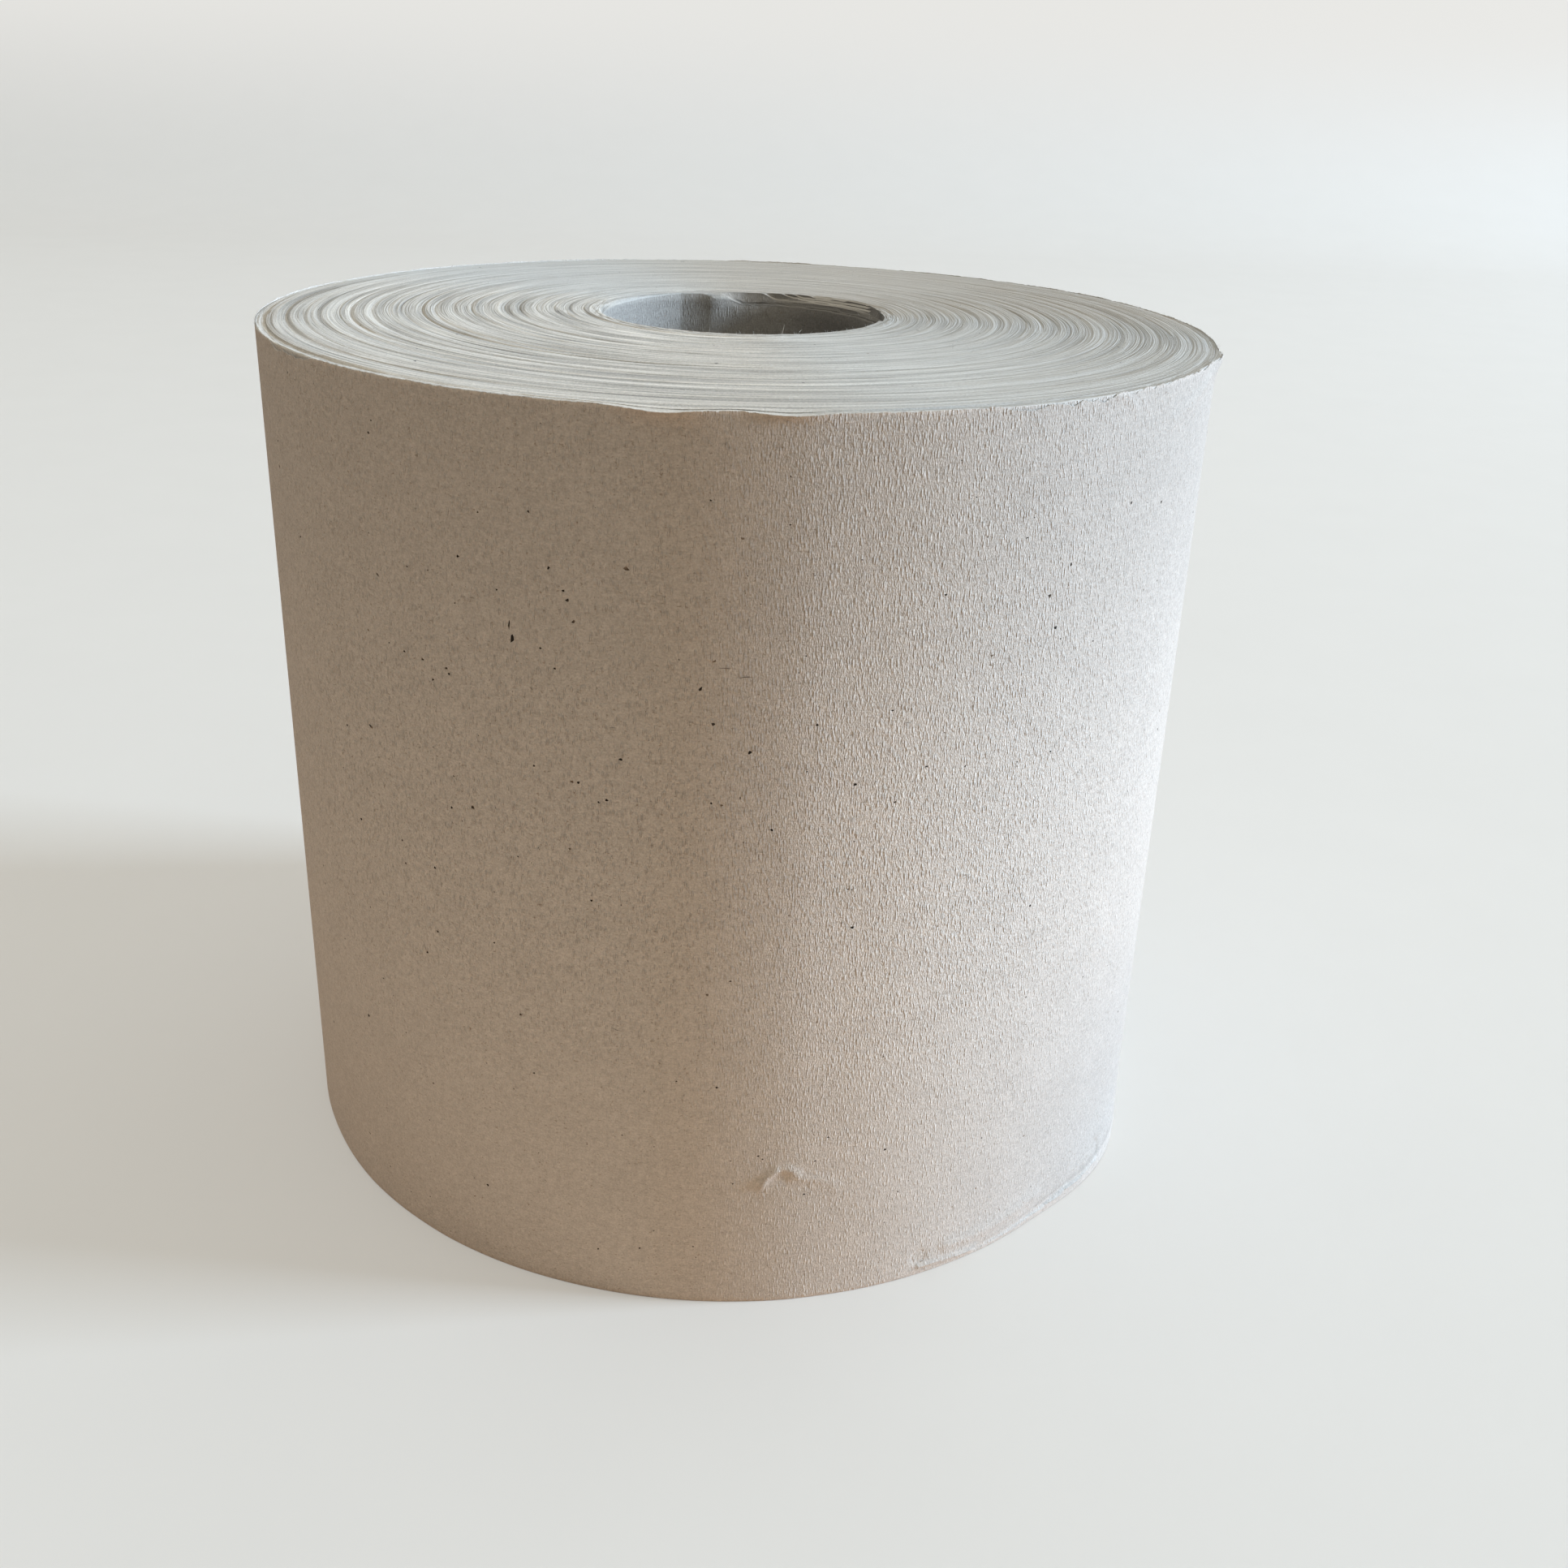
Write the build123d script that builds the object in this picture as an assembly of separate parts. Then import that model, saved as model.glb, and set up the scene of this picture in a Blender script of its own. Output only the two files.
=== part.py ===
"""A coreless toilet paper roll, standing on its end.

One web of creped tissue is wound on itself with no cardboard tube, so its first turns are the wall
of the bore. The turns are one solid. Both ends show them as rings: the web wandered sideways as it
was wound, so bands of turns stand proud with narrow rings between them. The last turn ends in a cut
edge down the back, its top edge is ragged, and the first turns have slipped down inside the mouth
of the bore.

The origin is the centre of the foot, and +Z runs up the roll's axis.
"""
from build123d import *
import os
from math import radians, sin

# The wound roll
roll_width = 114.0          # width of the web, so the height of the roll as it stands
roll_diameter = 125.0
bore_diameter = 37.0
turn_step = 0.3             # thickness of the last turn with its slack
overrun = 2.0               # how far a cutter runs past what it cuts

# Bands of turns on the two ends
top_band_count = 20
foot_band_count = 3
top_ring_depth = 0.4        # deepest ring between two bands on the top end
foot_ring_depth = 0.5
foot_ring_width = 1.6       # between two bands that are pressed flat
band_uneven_share = 0.3     # how much the widths of neighbouring bands differ
depth_uneven_share = 0.5    # how much the depths of the rings differ
band_beat = 2.4             # radians from one band to the next in the wander of the web

# The top end falls away to the rim and to the mouth of the bore
rim_fall = 0.8
rim_fall_power = 5
mouth_fall = 0.35
mouth_fall_power = 9

# Edges of the roll
lip_width = 1.2             # the last few turns stand up as a thin lip
rim_bevel = 0.35
foot_round = 0.8
mouth_bevel = 0.4

# The cut edge of the last turn
tail_angle = 100.0          # degrees about the axis from +X, on the side away from the front

# Flares of the last turns: angle, half of the arc that it spans, reach, height, and the end it is on
flare_root = 1.2            # how far a flare reaches back into the roll
front_lip_angle = -97.0
front_lip_spread = 7.0
front_lip_reach = 0.5
front_lip_height = 2.2
second_lip_angle = -85.0
second_lip_spread = 5.0
second_lip_reach = 0.35
second_lip_height = 1.6
side_ear_angle = -18.0
side_ear_spread = 6.0
side_ear_reach = 0.7
side_ear_height = 5.0
foot_bulge_angle = -32.0
foot_bulge_spread = 18.0
foot_bulge_reach = 0.9
foot_bulge_height = 9.0

# Gaps torn in the top edge of the last turns: start and end angles, and depth
torn_turns = 0.4            # thickness of the turns that are torn
left_tear = (-151.0, -140.0)
left_tear_depth = 0.8
right_tear = (-64.0, -50.0)
right_tear_depth = 0.6

# First turns that have slipped down in the mouth of the bore: start and end angles
slipped_turns = 0.7         # thickness of each group of slipped turns
inner_slip = (15.0, 112.0)
inner_slip_depth = 1.6
outer_slip = (-6.0, 92.0)
outer_slip_depth = 0.7

roll_radius = roll_diameter / 2
bore_radius = bore_diameter / 2
rim_height = roll_width - rim_fall


def band_radii(count):
    """Radii that part the wound wall into bands of uneven width, from the bore to the rim's lip."""
    inner = bore_radius + mouth_bevel
    outer = roll_radius - lip_width
    widths = [1 + band_uneven_share * sin(band_beat * band) for band in range(count)]
    radii = [inner]
    for width in widths:
        radii.append(radii[-1] + (outer - inner) * width / sum(widths))
    return radii


def ring_depth(deepest, band):
    """Depth of the ring at the outside of a band, which differs from band to band."""
    return deepest * (1 - depth_uneven_share * (1 + sin(band_beat * band * 2)) / 2)


def top_height(radius):
    """Height of the crests on the top end, which is level but for its fall to the rim and to the mouth."""
    across = (radius - bore_radius) / (roll_radius - bore_radius)
    to_rim = rim_fall * across**rim_fall_power
    to_mouth = mouth_fall * (1 - across) ** mouth_fall_power
    return roll_width - to_rim - to_mouth


def top_profile():
    """Points of the top end from the mouth of the bore out past the rim: crests with rings between them."""
    radii = band_radii(top_band_count)
    points = [(bore_radius, top_height(bore_radius) - mouth_bevel)]
    for band, (start, end) in enumerate(zip(radii, radii[1:])):
        crest = (start + end) / 2
        points.append((crest, top_height(crest)))
        points.append((end, top_height(end) - ring_depth(top_ring_depth, band)))
    points.append((roll_radius - rim_bevel, rim_height))
    points.append((roll_radius + overrun, rim_height - rim_bevel - overrun))
    return points


def foot_profile():
    """Points of the foot from below the rim back to the bore: bands pressed flat with rings between them."""
    points = [(roll_radius + overrun, foot_round + overrun), (roll_radius - foot_round, 0)]
    for band, ring in reversed(list(enumerate(band_radii(foot_band_count)[1:]))):
        points.append((ring, 0))
        points.append((ring - foot_ring_width / 2, ring_depth(foot_ring_depth, band)))
        points.append((ring - foot_ring_width, 0))
    points.append((bore_radius + mouth_bevel, 0))
    points.append((bore_radius, mouth_bevel))
    return points


def wound_wall():
    """The wall of turns, revolved from the profile of its two ends and past its outside."""
    outline = Polyline(*top_profile(), *foot_profile(), close=True)
    return revolve(make_face(Plane.XZ * outline), axis=Axis.Z)


def last_turn():
    """The outside of the roll: a spiral of two half turns whose ends leave the cut edge of the web."""
    half = turn_step / 2
    near = Circle(roll_radius)
    far = Pos(-half, 0) * Circle(roll_radius - half)
    side = Rectangle(roll_diameter + overrun, roll_diameter + overrun, align=(Align.CENTER, Align.MIN))
    spiral = (near & side) + (far & (Rot(0, 0, 180) * side))
    turned = Rot(0, 0, tail_angle) * spiral
    return extrude(turned, roll_width + overrun)


def flare(angle, spread, reach, height, top):
    """A crescent where the last turns lean out of the roll, widest at the end that they belong to."""
    half_chord = roll_radius * sin(radians(spread))
    radius = 1 / (1 / roll_radius + 2 * reach / half_chord**2)
    root_radius = radius - 2 * reach
    if top:
        cone = Pos(0, 0, rim_height - height / 2) * Cone(root_radius, radius, height)
    else:
        cone = Pos(0, 0, foot_round + height / 2) * Cone(radius, root_radius, height)
    leaning = Rot(0, 0, angle) * Pos(roll_radius + reach - radius, 0, 0) * cone
    return leaning - Cylinder(roll_radius - flare_root, roll_width * 3)


def arc_of_turns(angles, inner, outer, low, high):
    """A group of turns over part of the way round, between two radii and two heights."""
    start, end = angles
    section = Pos((inner + outer) / 2, (low + high) / 2) * Rectangle(outer - inner, high - low)
    upright = Plane.XZ * section
    return Rot(0, 0, start) * revolve(upright, axis=Axis.Z, revolution_arc=end - start)


def torn_edges():
    """The gaps in the ragged top edge of the last turns."""
    inner = roll_radius - torn_turns
    outer = roll_radius + overrun
    high = roll_width + overrun
    left = arc_of_turns(left_tear, inner, outer, rim_height - left_tear_depth, high)
    right = arc_of_turns(right_tear, inner, outer, rim_height - right_tear_depth, high)
    return left + right


def slipped_mouth():
    """The room above the first turns that have slipped down inside the mouth of the bore."""
    inner = bore_radius - overrun
    middle = bore_radius + slipped_turns
    outer = middle + slipped_turns
    high = roll_width + overrun
    first = arc_of_turns(inner_slip, inner, middle, roll_width - inner_slip_depth, high)
    second = arc_of_turns(outer_slip, inner, outer, roll_width - outer_slip_depth, high)
    return first + second


def paper_roll():
    """The whole roll as one solid."""
    roll = wound_wall() & last_turn()
    roll += flare(front_lip_angle, front_lip_spread, front_lip_reach, front_lip_height, top=True)
    roll += flare(second_lip_angle, second_lip_spread, second_lip_reach, second_lip_height, top=True)
    roll += flare(side_ear_angle, side_ear_spread, side_ear_reach, side_ear_height, top=True)
    roll += flare(foot_bulge_angle, foot_bulge_spread, foot_bulge_reach, foot_bulge_height, top=False)
    return roll - torn_edges() - slipped_mouth()


os.makedirs("parts", exist_ok=True)
export_step(paper_roll(), "parts/paper_roll.step")
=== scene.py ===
"""A coreless toilet paper roll standing on its end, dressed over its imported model.

The wound turns, the last turn with its ragged edge, the pulp specks and the loose fibres are meshes
of their own, in metres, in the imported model's frame: the origin is the centre of the foot, +Z runs up
the roll's axis and -Y is the front. Angles are in degrees round the axis, from +X towards +Y.
"""
import math
from functools import partial

import bmesh
import bpy
import numpy as np
from bpy.props import FloatProperty, FloatVectorProperty, IntProperty, PointerProperty
from mathutils import Matrix, Vector


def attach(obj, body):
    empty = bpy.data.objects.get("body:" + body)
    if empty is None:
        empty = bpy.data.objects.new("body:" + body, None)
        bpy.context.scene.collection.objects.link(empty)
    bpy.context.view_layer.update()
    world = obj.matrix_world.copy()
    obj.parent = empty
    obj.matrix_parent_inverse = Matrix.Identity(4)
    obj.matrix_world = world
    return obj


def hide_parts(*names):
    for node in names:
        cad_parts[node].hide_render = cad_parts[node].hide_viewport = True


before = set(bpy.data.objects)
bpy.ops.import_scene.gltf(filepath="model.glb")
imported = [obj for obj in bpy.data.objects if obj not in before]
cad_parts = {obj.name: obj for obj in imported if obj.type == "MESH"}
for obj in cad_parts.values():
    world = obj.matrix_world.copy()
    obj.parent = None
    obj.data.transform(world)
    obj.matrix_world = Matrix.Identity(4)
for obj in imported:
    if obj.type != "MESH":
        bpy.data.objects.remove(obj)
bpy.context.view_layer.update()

bl_info = {
    "name": "Coreless tissue roll",
    "version": (1, 0, 0),
    "blender": (4, 5, 0),
    "location": "3D View > Sidebar > Tissue roll",
    "description": "Builds a coreless toilet paper roll from its wound turns, and a plain studio for it",
    "category": "Object",
}

MM = 0.001
NODE = "paper_roll"
BODY = "root"
SEED = 7
CRISP_ANGLE = 40.0              # edges sharper than this stay sharp

# Smooth random lines round the roll: the fewest and the most waves, and how far they reach
WANDERS = {
    "ring": (1, 6, 0.14 * MM),
    "ring depth": (1, 7, 0.25),
    "rim ring depth": (1, 7, 0.3),
    "band level": (1, 5, 0.4),
    "groove": (1, 9, 0.025 * MM),
    "end": (2, 5, 0.07 * MM),
    "mouth": (2, 9, 0.16 * MM),
    "slip": (2, 8, 0.12),
    "mouth fuzz": (12, 50, 0.02 * MM),
    "rim": (2, 60, 0.025 * MM),
    "rim fuzz": (60, 190, 0.02 * MM),
    "bore": (2, 11, 0.07 * MM),
    "tear": (40, 160, 0.3),
    "torn line": (3, 14, 0.45),
    "torn teeth": (25, 90, 0.35),
    "torn fuzz": (150, 420, 0.3),
    "slack": (3, 16, 0.035 * MM),
    "ripple": (20, 50, 0.012 * MM),
}
WAVE_COUNT = 14
WAVE_SIZES = (0.4, 1.0)
# Lines that jump from level to level, as where turns slipped in groups: how many jumps, and their reach
JUMPS = {"mouth": (16, 0.2 * MM), "slip": (12, 0.12), "slipped edge": (14, 0.22 * MM)}
JUMP_WIDTHS = (6, 22)
JUMP_SOFTNESS = 1.6

# The bands of turns on the ends: how their widths and depths differ
BAND_UNEVEN = 0.3
BAND_BEAT = 2.4
RING_UNEVEN = 0.5
RING_ROUNDNESS = (1.8, 5.0)
BAND_STEP = 0.016 * MM
FIRST_BAND_GAP = 0.25 * MM      # from the groups of turns in the mouth to the first band
FIRST_RING_SHARE = 0.2
# Where the rings of the top end are shallower: start, width, and how much of their depth is lost
CALM_MOUTH = (22 * MM, 8 * MM, 0.5)
CALM_RIM = (50 * MM, 8 * MM, 0.55)
# Arcs where the rings fade out: start and end angles, soft ends, and how much of them is left
FADED_ARCS = (
    (-74.0, -9.0, 18.0, 0.25),
    (40.0, 152.0, 34.0, 0.3),
)
BAND_SHARES = (0, 0.07, 0.2, 0.35, 0.5, 0.65, 0.8, 0.93)

# Edges of the roll
RIM_FALL_POWER = 5
MOUTH_FALL_POWER = 9
MOUTH_BEVEL = 0.4 * MM
LIP_WIDTH = 1.2 * MM
RIM_SHARES = (0, 0.12, 0.25, 0.4, 0.55, 0.68, 0.78, 0.86, 0.93, 0.98)
RIM_RING_SHARE = 0.5            # depth of the ring inside the lip
RIM_CLIMB_SHARE = 0.7           # how much of the lip's width climbs out of that ring
RIM_TORN_SHARE = 0.15           # how much of a tear's depth the turns below the last one lose
RIM_TORN_START = 0.8
RIM_CHAMFER = 0.04 * MM
FOOT_ROUND = 0.8 * MM
FOOT_ARC = (20, 45, 70, 90)
FOOT_TUCK = 0.15 * MM
FOOT_RING_SHARE = 0.6
FOOT_RING_BANDS = 3             # bands from one ring of the foot to the next
FOOT_RING_HALF = 0.3 * MM

# The last turn, and the rows of its two faces: drops below its top edge and heights over the foot, in mm
TAIL_ANGLE = 100.0
TAIL_OVERLAP = 5.0
TAIL_EASE = 4.0
SHEET_GAP = 0.015 * MM
SHEET_COLUMNS = 1150
SHEET_DROPS = (0.04, 0.12, 0.25, 0.42, 0.65, 0.95, 1.3, 1.7, 2.2, 2.8, 3.5, 4.4, 5.5, 7, 9, 11.5)
SHEET_HEIGHTS = (
    100, 92, 82, 72, 62, 54, 49, 46.5, 45, 44, 43.3, 42.6, 41.9, 41.2, 40.5, 39.8, 39.1, 38.4, 37.5, 36,
    32, 27, 23.5, 22, 21.4, 20.9, 20.5, 20.1, 19.7, 19.3, 18.9, 18.5, 18, 17.4, 16.5, 14, 11.5, 9.5, 8, 6.8,
    5.9, 5.2, 4.6, 4.1, 3.7, 3.3, 2.9, 2.5, 2.1, 1.75, 1.4, 1.1, 0.8, 0.5, 0.25, 0.06)
INNER_DROPS = (0.3, 1, 3, 8)
INNER_HEIGHTS = (90, 60, 30, 12, 5, 2, 0.5)

# The turns below it: rows of their outside in the same way, and of the bore as shares of its height
BODY_COLUMNS = 400
BODY_DROPS = (0.5, 1.2, 2.5, 4.5, 8)
BODY_HEIGHTS = (85, 55, 25, 12, 7, 4, 2, 0.9)
BORE_SHARES = (0.02, 0.07, 0.15, 0.27, 0.4, 0.52, 0.63, 0.73, 0.81, 0.87, 0.91, 0.94, 0.96, 0.975, 0.988)

# Places where the last turns lean out: angle, half of the arc, reach, height, drop, and the end they are on
LEANS = (
    (-97.0, 7.0, 0.5 * MM, 2.2 * MM, 0.35 * MM, "top"),
    (-85.0, 5.5, 0.35 * MM, 1.6 * MM, 0.3 * MM, "top"),
    (-18.0, 6.0, 0.7 * MM, 5.0 * MM, 0, "top"),
    (-31.0, 18.0, 1.25 * MM, 14.0 * MM, 0, "foot"),
)
LEAN_DEPTH = 3.0 * MM           # how far into the roll the turns lean with the last one
LEAN_LIMIT = 1.2                # how far past the rim the lean goes on growing, as a share of its height

# Gaps torn in the top edge: start and end angles, depth, and how many degrees their ends take
TEARS = (
    (-151.0, -140.5, 0.55 * MM, 2.2),
    (-64.0, -50.3, 0.42 * MM, 1.6),
)
# The ragged top edge, and its small nicks on the right
EDGE_RISE = 0.08 * MM
EDGE_ROUGHNESS = 0.10 * MM
NICKED_ARC = (-66.0, -14.0)
NICKED_ROUGHNESS = 0.08 * MM
NICKED_FADE = 10.0
NICKS = 16
NICK_WIDTHS = (0.5, 2.5)
NICK_DEPTHS = (0.08 * MM, 0.32 * MM)
NICK_SOFTNESS = 0.4

# Groups of turns that slipped down in the mouth, from the bore outwards: start and end angles, soft ends,
# and depths at their inner and outer edges
SLIPPED = (
    (-7.0, 96.0, 13.0, 1.65 * MM, 1.55 * MM),
    (-7.0, 95.0, 14.0, 1.42 * MM, 1.10 * MM),
    (14.0, 78.0, 8.0, 1.05 * MM, 0.80 * MM),
    (22.0, 70.0, 7.0, 0.66 * MM, 0.50 * MM),
    (26.0, 66.0, 6.0, 0.48 * MM, 0.26 * MM),
    (29.0, 62.0, 6.0, 0.20 * MM, 0.06 * MM),
)
SLIP_THICKNESS = 0.3 * MM
SLIP_SHARES = (0.02, 0.25, 0.95)
SLIP_BEVEL = 0.04 * MM
LIP_ROUNDING = (175.0, 75.0, 0.7 * MM)      # soft left part of the mouth: angle, spread and radius
LIP_EDGE = 0.1 * MM             # rounding of the rest of the mouth

# A loose fold of the first turn in the mouth, and the bulge of the wall beside it all the way down:
# start and end of the bulge's left and right flanks
FOLD_ANGLE = 102.0
FOLD_SPREAD = 8.0
FOLD_REACH = 0.3 * MM
FOLD_HEIGHT = 3.2 * MM
FOLD_GROUPS = 3                 # groups of turns that the fold takes along
BULGE_FLANKS = (118.0, 105.0, 105.0, 58.0)
BULGE_REACH = 1.15 * MM

# Creases in the last turn: points of angle and height in mm, half width and lift
CREASES = (
    (((-18, 112.4), (-27, 110.9), (-37, 108.6)), 0.6 * MM, 0.16 * MM),
    (((-49, 113.0), (-46.5, 112.4), (-45, 111.0)), 0.5 * MM, 0.10 * MM),
    (((-85.6, 18.4), (-84.9, 19.6), (-83.8, 20.5)), 0.42 * MM, 0.36 * MM),
    (((-83.0, 20.7), (-82.2, 20.4), (-81.4, 19.9)), 0.34 * MM, 0.24 * MM),
    (((-82.2, 19.4), (-79.0, 18.6), (-76.9, 17.5)), 0.4 * MM, 0.14 * MM),
    (((-65.6, 1.5), (-55.9, 0.9), (-43.7, 1.4), (-32.7, 2.1)), 0.35 * MM, 0.26 * MM),
    (((-61.7, 3.4), (-55.5, 3.4), (-47.0, 4.4)), 0.9 * MM, 0.24 * MM),
    (((-57.0, 0.9), (-46.0, 1.5), (-35.0, 2.9)), 0.3 * MM, -0.4 * MM),
    (((-40.3, 40.1), (-37.8, 39.0), (-36.5, 38.9)), 0.5 * MM, 0.12 * MM),
    (((-39.6, 43.4), (-38.5, 42.0)), 0.5 * MM, 0.10 * MM),
    (((-33.9, 41.6), (-34.4, 40.2)), 0.5 * MM, 0.08 * MM),
)

# Dents in the last turn: angle, height in mm, half width and depth
DENTS = (
    (-32.6, 3.8, 0.9 * MM, 0.8 * MM),
    (-65.6, 3.0, 0.8 * MM, 0.5 * MM),
    (-83.4, 19.4, 1.0 * MM, 0.12 * MM),
)

# Specks that the side shows: angle, height in mm, length and width in mm, and tilt from level
SIDE_SPECKS = (
    (-112.6, 87.1, 1.0, 0.45, 80), (-112.9, 88.6, 1.1, 0.22, 84), (-106.5, 92.3, 0.45, 0.35, 20),
    (-118.6, 95.3, 0.36, 0.32, 0), (-108.4, 95.6, 0.42, 0.26, 60), (-130.1, 90.8, 0.62, 0.2, -30),
    (-120.8, 82.0, 0.42, 0.26, 0), (-120.5, 81.4, 0.32, 0.26, 0), (-122.7, 80.2, 0.36, 0.28, 30),
    (-133.2, 71.4, 0.85, 0.32, -20), (-102.7, 69.6, 0.4, 0.3, 0), (-106.4, 71.3, 0.42, 0.3, 0),
    (-105.7, 71.3, 0.4, 0.3, 30), (-101.2, 74.7, 0.5, 0.3, 0), (-106.8, 62.9, 0.36, 0.3, 0),
    (-126.6, 82.6, 0.42, 0.24, 0), (-105.9, 90.0, 0.5, 0.3, 40), (-100.5, 96.4, 0.7, 0.4, -20),
    (-106.9, 93.3, 0.36, 0.26, 0), (-109.5, 86.5, 0.32, 0.24, 0), (-108.0, 84.4, 0.32, 0.24, 0),
    (-91.9, 79.6, 0.42, 0.38, 0), (-77.3, 72.2, 0.45, 0.34, 20), (-62.8, 85.8, 0.42, 0.24, 10),
    (-62.9, 84.7, 0.42, 0.2, -10), (-91.9, 86.8, 0.5, 0.22, 30), (-93.2, 83.6, 0.6, 0.3, 60),
    (-88.2, 76.4, 0.5, 0.36, 50), (-90.9, 70.0, 0.34, 0.26, 0), (-124.0, 56.0, 0.36, 0.34, 0),
    (-104.5, 56.7, 0.32, 0.3, 0), (-113.2, 39.3, 0.45, 0.3, 10), (-126.0, 43.7, 0.42, 0.3, 60),
    (-90.8, 32.8, 0.36, 0.26, 0), (-79.5, 21.5, 0.36, 0.24, 20), (-86.0, 22.8, 0.4, 0.2, 20),
    (-80.6, 16.6, 0.32, 0.24, 20), (-65.0, 2.0, 0.42, 0.36, 0), (-50.4, 16.0, 0.42, 0.24, 20),
)

# Fibres that the side shows: angle, height in mm, length and width in mm, tilt from level and bend
SIDE_FIBRES = (
    (-88.8, 85.0, 1.9, 0.16, 6, 0.06), (-90.8, 86.0, 1.8, 0.14, 0, 0.04),
    (-83.3, 84.2, 3.2, 0.09, 4, 0.08), (-72.1, 79.0, 1.2, 0.14, 8, 0.1),
    (-97.9, 68.9, 2.0, 0.09, -12, 0.15), (-102.0, 78.3, 1.4, 0.12, 4, 0.05),
    (-101.7, 40.3, 2.6, 0.12, -12, -0.22), (-91.0, 107.0, 1.1, 0.1, 10, 0.1),
    (-118.3, 60.4, 1.3, 0.09, 25, 0.2), (-97.8, 69.6, 1.2, 0.09, 10, -0.1),
    (-110.4, 47.2, 1.6, 0.1, -20, 0.12), (-128.4, 63.0, 1.1, 0.1, 12, 0.2),
)
FIBRE_SINK = 0.03 * MM

# Specks that the end shows: angle, radius in mm, length and width in mm, and tilt from the turns
END_SPECKS = (
    (-155.8, 50.7, 0.42, 0.3, 0), (-142.0, 42.8, 0.4, 0.3, 0), (-64.1, 34.1, 0.4, 0.34, 0),
    (-26.4, 25.3, 0.95, 0.34, -70), (-71.1, 27.2, 0.34, 0.28, 0), (-93.9, 39.9, 0.5, 0.3, 0),
    (-21.6, 50.5, 0.42, 0.3, 0), (-33.1, 53.7, 0.36, 0.26, 0), (-129.8, 55.7, 0.6, 0.3, 20),
)

# Stray specks: how many, the heights or radii they lie at and the scale of their lengths, all in mm,
# their narrowest shape, and how far they tilt
SIDE_STRAYS = (900, (3, 111), 0.055, 0.45, 35)
END_STRAYS = (90, (21, 60), 0.05, 0.5, 30)
STRAY_SPREAD = 3                # shape of the gamma curve that their lengths follow
STRAY_ROUNDEST = 0.95
SMALLEST_SPECK = 0.06 * MM
SPECK_SIDES = 7
SPECK_UNEVEN = 0.25
SPECK_RISE = 0.012 * MM
SPECK_ROOT = 0.036 * MM

# Loose white fibres at the edges: two that stand out in the mouth, how many are strewn, and their sizes
MOUTH_FIBRES = ((-74.2, 1.1 * MM), (-67.6, 0.8 * MM))
MOUTH_FIBRE_PLACE = 0.1 * MM
LONG_FIBRE = 0.6 * MM           # longer ones are twice as thick
STRAY_FIBRES = 260
STRAY_AT_MOUTH = 0.35
STRAY_MOUTH = (0.05 * MM, 1.5 * MM)
STRAY_END = (25 * MM, 61.5 * MM)
STRAY_LENGTHS = (0.2 * MM, 0.55 * MM)
STRAY_SWAY = 0.6
STRAY_BEND = 0.35
RIM_FIBRES = 700
RIM_FIBRE_DROP = 0.2 * MM
RIM_FIBRE_LENGTHS = (0.12 * MM, 0.4 * MM)
RIM_FIBRE_RISE = 0.7
RIM_FIBRE_SWAY = 0.8
RIM_FIBRE_OUT = (0.2, 0.4)
FIBRE_ROOT = 0.1                # share of a fibre that is sunk in the paper
FIBRE_WIDTH = 0.028 * MM
FIBRE_POINT = 0.25              # thickness of a fibre's ends, as a share of its middle
FIBRE_SIDES = 3
FIBRE_STEPS = 5

# What all paper has, whatever its colour
PAPER_SURFACE = {"Specular IOR Level": 0.15, "Sheen Weight": 0.08, "Sheen Roughness": 0.6}

# The tissue's face. Grains: sizes across and up in mm, detail and roughness
TISSUE_GRAINS = {
    "crepe": (0.22, 0.7, 1.5, 0.5),
    "fine crepe": (0.12, 0.3, 1, 0.5),
    "strands": (1.3, 0.14, 2, 0.5),
    "cloud": (7, 4, 3, 0.5),
    "mottle": (0.9, 0.6, 3, 0.7),
    "grain": (0.26, 0.22, 2, 0.7),
    "flecks": (0.42, 0.26, 1, 0.5),
}
FOLD_CELL = (0.37, 1.2)
FOLD_SPAN = (0.12, 0.42)
FLECK_SPAN = (0.66, 0.76)
FLECK_STRENGTH = 0.6
# How much each layer adds to the tone and to the relief of the tissue
TISSUE_TONE = {
    "cloud": 0.12, "mottle": 0.44, "strands": 0.22, "grain": 0.74, "folds": 0.05, "painted top edge highlight": 0.18,
}
TISSUE_RELIEF = {"crepe": 0.42, "folds": 0.36, "fine crepe": 0.3, "strands": 0.12, "grain": 0.2}
TISSUE_BASE = 0.21
TISSUE_ROUGHNESS = (0.86, 0.1)  # its level, and what the mottle adds
# Where the face changes: heights over the foot, and places to the right of the axis
# Painted highlight along the top edge of the last turn, where light shines through the thin paper
PAINTED_TOP_EDGE = (112.75 * MM, 113.25 * MM)
LOW_PART = (0, 50 * MM)
MIDDLE_RISE = (6 * MM, 60 * MM)
MIDDLE_FALL = (60 * MM, 108 * MM)
RELIEF_RISE = (15 * MM, 65 * MM)
RIGHT_HALF = (0, 15 * MM)
FAR_RIGHT = (25 * MM, 55 * MM)
WARM_START = (-14 * MM, 2 * MM)
WARM_END = (14 * MM, 34 * MM)
# A painted highlight band above the foot at the right, and a painted shadow line over it, where the last
# turn's
# edge stands out: spans round a height that slopes up
BAND_SLOPE = (18 * MM, 52 * MM)
BAND_CLIMB = 2.5 * MM
BAND_TOP = (-0.3 * MM, 0.2 * MM)
LINE_START = (-0.2 * MM, 0.15 * MM)
LINE_END = (0.2 * MM, 0.9 * MM)
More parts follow.
